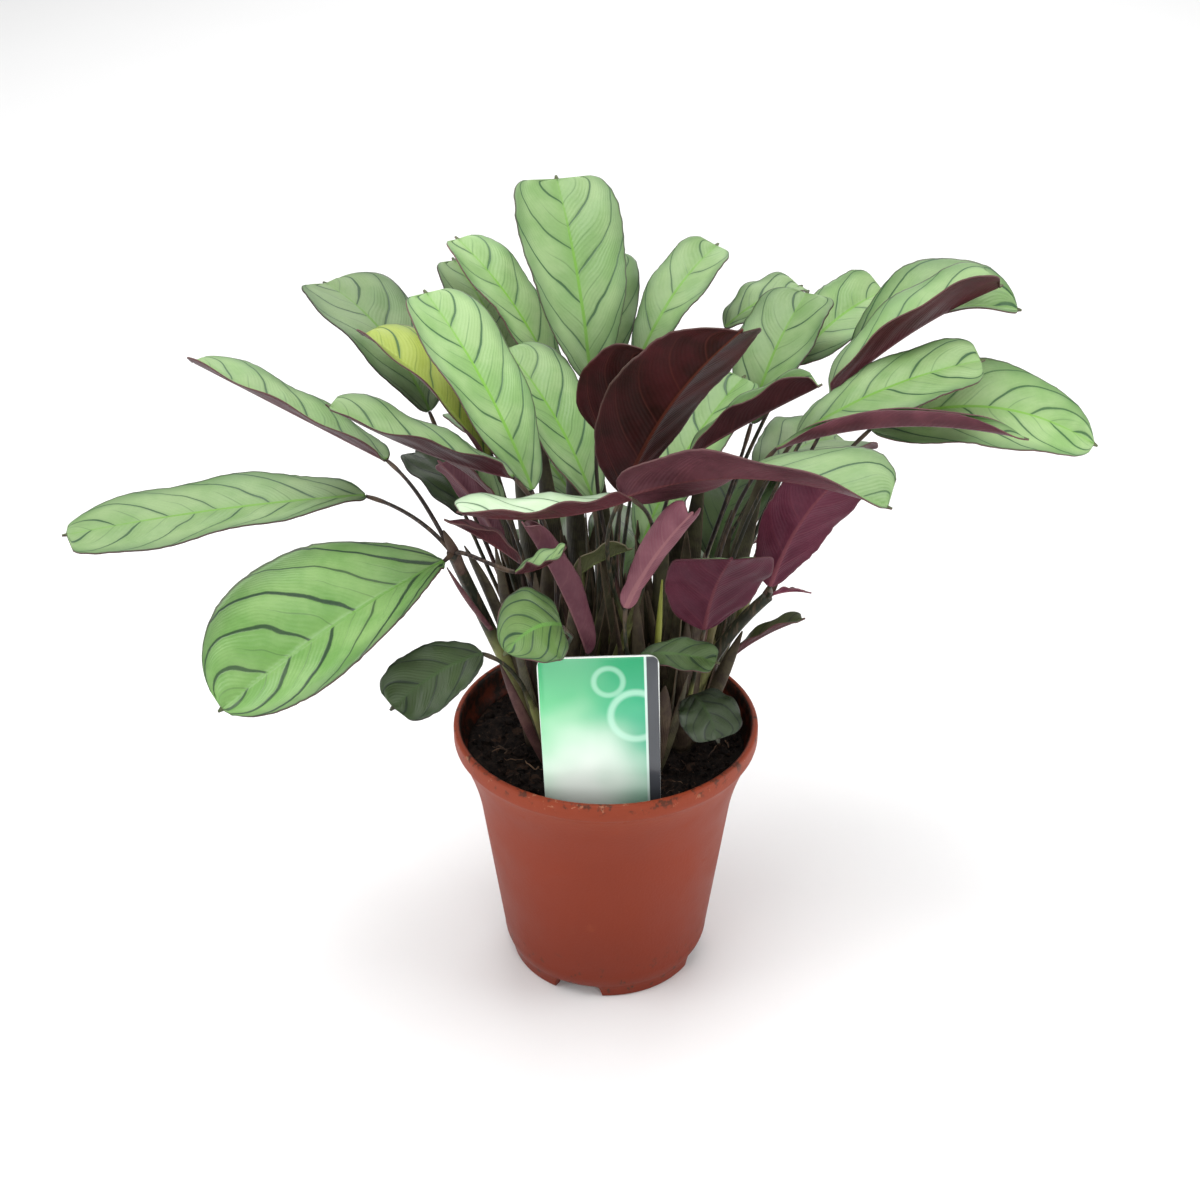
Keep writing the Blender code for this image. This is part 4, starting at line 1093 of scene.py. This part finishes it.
CROWN_DEPTH = 78.0
CROWN_TOP = 104.0
CROWN_FOOT_RADIUS = 5.5
CROWN_TOP_RADIUS = 4.0
CROWN_ROUND = 0.9
CROWN_STEPS = 8
SHEATH_CLOSES = 0.05
JOINT_SWELL = 0.22
CUT_SHOOT = "shoot_right_front"
CUT_STALK = ((17.0, -20.0, 101.0), (18.5, -22.0, 140.0), (20.5, -22.5, 186.0))
CUT_STEPS = 12


def stalk_skin():
    """Stalk skin: olive or wine for the sheathed part, near black above it, with fine streaks."""
    material, place = new_material("stalk_skin")
    look = node(place.tree, "ShaderNodeAttribute", {"attribute_name": "look"}, "Vector")
    along, tone, joint = look.parts()
    stretched = node(place.tree, "ShaderNodeMapping", i0=place, Scale=(1.0, 1.0, 0.1))
    streaks = grain(stretched, 700.0, 3.0, 0.6)
    rise = ease(along, 0.1, 0.5)
    above = ease(along, 0.45, 0.6)
    olive = tint(rise, (0.15, 0.128, 0.058), (0.165, 0.18, 0.062))
    olive = tint(above, olive, (0.018, 0.021, 0.012))
    wine = tint(rise, (0.14, 0.078, 0.056), (0.14, 0.066, 0.06))
    wine = tint(above, wine, (0.016, 0.011, 0.01))
    body = tint(ease(tone, 0.42, 0.62), olive, wine)
    body = tint(ease(streaks, 0.45, 0.7, 0.0, 0.55), body, (0.13, 0.085, 0.055))
    blotch = grain(place, 120.0, 3.0, 0.6)
    body = tint(ease(blotch, 0.5, 0.68, 0.0, 0.5), body, (0.014, 0.011, 0.009))
    body = tint(joint * 0.7, body, (0.085, 0.055, 0.035))
    body = tint(ease(tone, 0.985, 0.995), body, (0.22, 0.235, 0.045))
    return finish(material, body, 0.42, specular=0.2, bump=(streaks, 0.35, 0.0004))


def bezier(points, steps):
    """Points along the cubic curve with these four control points."""
    a, b, c, d = points
    return [
        a * (1 - t) ** 3 + b * 3 * (1 - t) ** 2 * t + c * 3 * (1 - t) * t**2 + d * t**3
        for t in slide(0.0, 1.0, steps)
    ]


def cane_path(name, steps=CANE_STEPS):
    """A smooth curve through the cane's three points."""
    start, middle, end = (Vector(point) for point in CANES[name][1])
    pull = middle * 2 - (start + end) / 2
    places = slide(0.0, 1.0, steps)
    return [start * (1 - t) ** 2 + pull * 2 * t * (1 - t) + end * t**2 for t in places]


def stalk_path(blade):
    """From crown or cane to just short of the blade's base, meeting it along its midrib."""
    base = blade.base
    if blade.source in CANES:
        top = cane_path(blade.source, 6)
        rise = (top[-1] - top[-2]).normalized()
        start = top[-1] - rise * CANE_OVERLAP
    else:
        x, y = CROWNS[blade.source]
        crown = Vector((x, y, STALK_START))
        outward = Vector((base.x - x, base.y - y, 0.0)).normalized()
        start = crown + outward * STALK_OFFSET
        lean = (base - crown).to_2d().length / (base.z - crown.z)
        rise = outward * min(lean * blade.shape["spread"], MOST_SPREAD) + Vector((0.0, 0.0, 1.0))
    reach = (base - start).length
    straight = (base - start).normalized()
    leave = (rise + straight * STALK_STRAIGHTENS).normalized()
    arrive = (straight + blade.tangent(0.0)).normalized()
    controls = (
        start,
        start + leave * (blade.shape["upright"] * reach),
        base - arrive * (STALK_END_PULL * reach),
        base - arrive * STALK_GAP,
    )
    return bezier(controls, STALK_STEPS)


def even_marks(steps, tone):
    """What a plain tube tells its skin: the share of its length, its tone and no joint."""
    return [(share, tone, 0.0, 1.0) for share in slide(0.0, 1.0, steps)]


def grow_stalk(shape, looks, blade):
    """One stalk: sheathed for its lower part, unless it stands on a cane, and swollen at its joint."""
    path = stalk_path(blade)
    steps = [0.0] + [(b - a).length for a, b in zip(path, path[1:])]
    length = sum(steps)
    on_cane = blade.source in CANES
    foot = CANE_STALK_RADIUS if on_cane else STALK_FOOT_RADIUS
    tone = stalk_draws.random() * 0.95
    sheathed = 0.0 if on_cane else SHEATH_SHARE * stalk_draws.uniform(0.75, 1.25)
    radii, marks = [], []
    gone = 0.0
    for step in steps:
        gone += step
        share = gone / length
        bare = foot + (STALK_NECK_RADIUS - foot) * share
        wrap = SHEATH_RADIUS + (SHEATH_END_RADIUS - SHEATH_RADIUS) * share / SHEATH_SHARE
        closed = min(max((sheathed - share) / SHEATH_CLOSES, 0.0), 1.0)
        joint = math.sin(math.pi * min(max(0.0, 1 - (length - gone) / JOINT_LENGTH), 1.0))
        radii.append(bare + (wrap - bare) * closed + JOINT_SWELL * joint)
        marks.append((share if sheathed else 0.7, tone, joint, 1.0))
    grow_tube(shape, path, radii, 10, looks, marks)


STALK_SKIN = stalk_skin()
stalk_draws = random.Random(5)
for shoot, (x, y) in CROWNS.items():
    shape = bmesh.new()
    looks = shape.verts.layers.float_color.new("look")
    path = [Vector((x, y, z)) for z in slide(CROWN_DEPTH, CROWN_TOP, CROWN_STEPS)]
    radii = slide(CROWN_FOOT_RADIUS, CROWN_TOP_RADIUS, CROWN_STEPS)
    radii[-1] -= CROWN_ROUND
    grow_tube(shape, path, radii, 20, looks, even_marks(CROWN_STEPS, 0.5))
    canes = [cane for cane, (foot_of, _) in CANES.items() if foot_of == shoot]
    for cane in canes:
        radii = slide(CANE_FOOT_RADIUS, CANE_TOP_RADIUS, CANE_STEPS)
        grow_tube(shape, cane_path(cane), radii, 14, looks, even_marks(CANE_STEPS, 0.2))
    for blade in blades:
        if blade.source == shoot or blade.source in canes:
            grow_stalk(shape, looks, blade)
    if shoot == CUT_SHOOT:
        foot, middle, top = (Vector(point) for point in CUT_STALK)
        path = bezier((foot, middle, middle, top), CUT_STEPS)
        radii = [1.5 - 0.03 * i for i in range(CUT_STEPS - 1)] + [0.8, 0.3]
        grow_tube(shape, path, radii, 10, looks, even_marks(CUT_STEPS, 1.0))
    bmesh.ops.recalc_face_normals(shape, faces=shape.faces)
    finished_piece(shoot + "_stalks", shape, [STALK_SKIN], [shoot])


# ---- Sheath leaves
# Scale leaves without a blade that wrap the foot of each shoot and the two canes. Each is one narrow
# papery spear, rolled round the stalks it protects, wine brown to near black, and lighter and pinker
# where it is young. Their near-black colour is partly painted shade, and the broad near-black ones in
# the back rows are dark sheets that stand in for the shade inside the plant.

SHEATH_ROWS = 25
SHEATH_COLUMNS = 9
SHEATH_THICKNESS = 0.4
SHEATHS_PER_SHOOT = 8
SHEATH_START = 98.5
SHEATH_REACH = 4.2

# Foot, tip, width, roll in degrees, outward bow, and colour from 0, near black, to 1, pink. The broad
# near-black ones at the back are painted shade.
SINGLE_SHEATHS_AND_SHADE_FILLS = (
    ((-43.5, -20, 163), (-57, -35, 198), 4.6, 150, 1, 0.85),
    ((-53, -31.5, 193), (-57.5, -35, 213), 9, 250, 0.6, 0.3),
    ((-39, -14, 158), (-51, -28, 203), 8, 120, -1, 0.05),
    ((-24, -18, 100), (-40, -20, 148), 9, 200, 1.5, 0.55),
    ((57, -9, 166), (64.5, -12, 181), 6.5, 230, 0.5, 0.3),
    ((33, -4, 101), (52, -9, 156), 10, 210, 1, 0.1),
    # Broad near-black sheaths in the back rows: dark sheets that stand in for the shade inside the
    # plant.
    ((-24, 14, 100), (-45, 22, 222), 17, 130, 2, 0),
    ((-20, 17, 100), (-35, 27, 226), 17, 130, 2, 0),
    ((-14, 18, 100), (-25, 29, 224), 17, 130, 2, 0),
    ((-6, 22, 100), (-14, 31, 220), 16, 130, 2, 0),
    ((4, 24, 100), (-3, 33, 212), 16, 130, 2, 0),
    ((-30, -13, 106), (-41, -13, 196), 10, 140, 0.5, 0.1),
    ((-24, -17, 100), (-31, -22, 182), 9, 160, 1, 0.3),
    # More broad near-black sheaths at the back: painted shade.
    ((22, 14, 100), (30, 24, 205), 15, 130, 2, 0),
    ((32, 6, 100), (48, 14, 196), 14, 130, 2, 0),
    ((34, 4, 100), (60, 12, 218), 14, 130, 2, 0),
    ((26, 10, 100), (37, 20, 218), 14, 130, 2, 0),
    ((17.5, -6, 100), (22, -3, 204), 13, 140, 1, 0),
    ((10, -10, 100), (13, -12, 190), 9, 160, 1, 0.15),
)


def sheath_skin():
    """Papery sheath: fine lengthwise ribs, dry paler edges and a browned tip; its near-black colour is
    partly painted shade.
    """
    material, place = new_material("sheath_skin")
    look = node(place.tree, "ShaderNodeAttribute", {"attribute_name": "look"}, "Vector")
    across, along, tone = look.parts()
    ribs = calc("SINE", across * 42.0)
    mottle = grain(place, 160.0, 4.0, 0.65)
    patches = ease(mottle, 0.35, 0.65)
    # Near black: partly the dry sheath's own colour and partly painted shade.
    dark = tint(patches, (0.028, 0.025, 0.015), (0.058, 0.056, 0.028))
    pink = tint(patches, (0.085, 0.02, 0.032), (0.14, 0.045, 0.058))
    body = tint(tone, dark, pink)
    body = tint(ease(ribs, 0.2, 1.0, 0.0, 0.18), body, (0.12, 0.08, 0.05))
    body = tint(ease(abs(across), 0.86, 1.0, 0.0, 0.45), body, (0.13, 0.085, 0.055))
    body = tint(ease(along, 0.8, 1.0, 0.0, 0.6), body, (0.045, 0.028, 0.016))
    return finish(material, body, 0.55, specular=0.2, bump=(ribs * 0.3 + mottle, 0.5, 0.0004))


def grow_sheath(foot, tip, width, roll, bow, tone, facing):
    """Bend a grid into a spear that is rolled about its own length, open on the side that it faces."""
    foot, tip = Vector(foot), Vector(tip)
    along = (tip - foot).normalized()
    out = (-facing - along * -facing.dot(along)).normalized()
    side = along.cross(out)
    segments = {"x_segments": SHEATH_COLUMNS - 1, "y_segments": SHEATH_ROWS - 1}
    for vertex in bmesh.ops.create_grid(sheath_shape, size=0.5, **segments)["verts"]:
        across, row = grid_spot(vertex, SHEATH_COLUMNS, SHEATH_ROWS)
        s = row / (SHEATH_ROWS - 1)
        broad = width * max(0.04, (0.75 + 0.6 * s * (1 - s)) * (1 - s**2.6) ** 0.75)
        turned = math.radians(roll) * (1 - 0.55 * s) / 2
        radius = broad / (2 * turned)
        angle = across * turned
        spot = foot + (tip - foot) * s + out * (bow * math.sin(math.pi * s))
        spot += out * (radius * (math.cos(angle) - 1)) + side * (radius * math.sin(angle))
        vertex.co = spot * MM
        vertex[sheath_looks] = (across, s, tone, 1.0)


sheath_shape = bmesh.new()
sheath_looks = sheath_shape.verts.layers.float_color.new("look")
for x, y in CROWNS.values():
    start = stalk_draws.uniform(0, 2 * math.pi)
    for index in range(SHEATHS_PER_SHOOT):
        place = index + stalk_draws.uniform(-0.2, 0.2)
        heading = start + 2 * math.pi * place / SHEATHS_PER_SHOOT
        outward = Vector((math.cos(heading), math.sin(heading), 0.0))
        foot = Vector((x, y, SHEATH_START)) + outward * SHEATH_REACH
        tall = stalk_draws.uniform(45, 102)
        tip = foot + Vector((0.0, 0.0, tall)) + outward * (tall * stalk_draws.uniform(0.06, 0.24))
        # Mostly near black: partly painted shade.
        tone = stalk_draws.uniform(0.0, 0.35) ** 1.5
        grow_sheath(foot, tip, stalk_draws.uniform(9.0, 14.0), 150, 1.5, tone, -outward)
for row in SINGLE_SHEATHS_AND_SHADE_FILLS:
    grow_sheath(*row, Vector((0.5, 0.8, 0.0)))
bmesh.ops.recalc_face_normals(sheath_shape, faces=sheath_shape.faces)
sheaths = finished_piece("sheath_leaves", sheath_shape, [sheath_skin()])
paper = sheaths.modifiers.new("thickness", "SOLIDIFY")
paper.thickness = SHEATH_THICKNESS * MM
paper.offset = 0.0


# ---- Studio
# A wide plain floor of pale paper, soft light from above, in front, both sides and behind, and the
# camera, which looks down at the plant from half a metre up.

CAMERA_PLACE = (-0.0023, -0.6074, 0.5124)
CAMERA_PITCH = 60.2
CAMERA_LENS = 54.8
SENSOR = 36.0
SKY_STRENGTH = 0.36


def studio_paper():
    """Matte white paper, very slightly uneven in shade."""
    material, place = new_material("studio_paper")
    body = tint(grain(place, 4.0), (0.83, 0.83, 0.83), (0.85, 0.85, 0.85))
    return finish(material, body, 0.9)


def add_light(name, place, size, power, aim=(0.0, 0.0, 0.15)):
    """A square soft white light that faces the point given."""
    data = bpy.data.lights.new(name, "AREA")
    data.shape = "SQUARE"
    data.size = size
    data.energy = power
    lamp = bpy.data.objects.new(name, data)
    bpy.context.scene.collection.objects.link(lamp)
    lamp.location = place
    lamp.rotation_euler = (Vector(aim) - Vector(place)).to_track_quat("-Z", "Y").to_euler()


floor_shape = bmesh.new()
bmesh.ops.create_grid(floor_shape, x_segments=8, y_segments=8, size=6.0)
floor_mesh = bpy.data.meshes.new("floor")
floor_shape.to_mesh(floor_mesh)
floor_shape.free()
floor_mesh.materials.append(studio_paper())
floor = bpy.data.objects.new("floor", floor_mesh)
bpy.context.scene.collection.objects.link(floor)

add_light("softbox_above", (-0.25, -0.15, 1.5), 1.1, 19.0)
add_light("softbox_front", (0.35, -1.5, 0.75), 1.0, 6.4)
add_light("softbox_low", (-0.10, -1.2, 0.28), 0.5, 1.6, aim=(0.0, -0.05, 0.10))
add_light("softbox_left", (-1.5, -0.2, 0.5), 1.0, 12.0)
add_light("softbox_right", (1.5, -0.1, 0.5), 1.0, 13.0)
add_light("softbox_behind", (0.2, 1.9, 1.6), 1.6, 26.0, aim=(0.0, 1.2, 0.0))

world = bpy.data.worlds.new("studio")
world.use_nodes = True
sky = world.node_tree.nodes["Background"].inputs
sky["Color"].default_value = (1.0, 1.0, 1.0, 1.0)
sky["Strength"].default_value = SKY_STRENGTH
bpy.context.scene.world = world
bpy.context.scene.view_settings.view_transform = "Standard"

camera_data = bpy.data.cameras.new("camera")
camera_data.sensor_width = SENSOR
camera_data.lens = CAMERA_LENS
camera = bpy.data.objects.new("camera", camera_data)
camera.location = CAMERA_PLACE
camera.rotation_euler = (math.radians(CAMERA_PITCH), 0.0, 0.0)
bpy.context.scene.collection.objects.link(camera)
bpy.context.scene.camera = camera
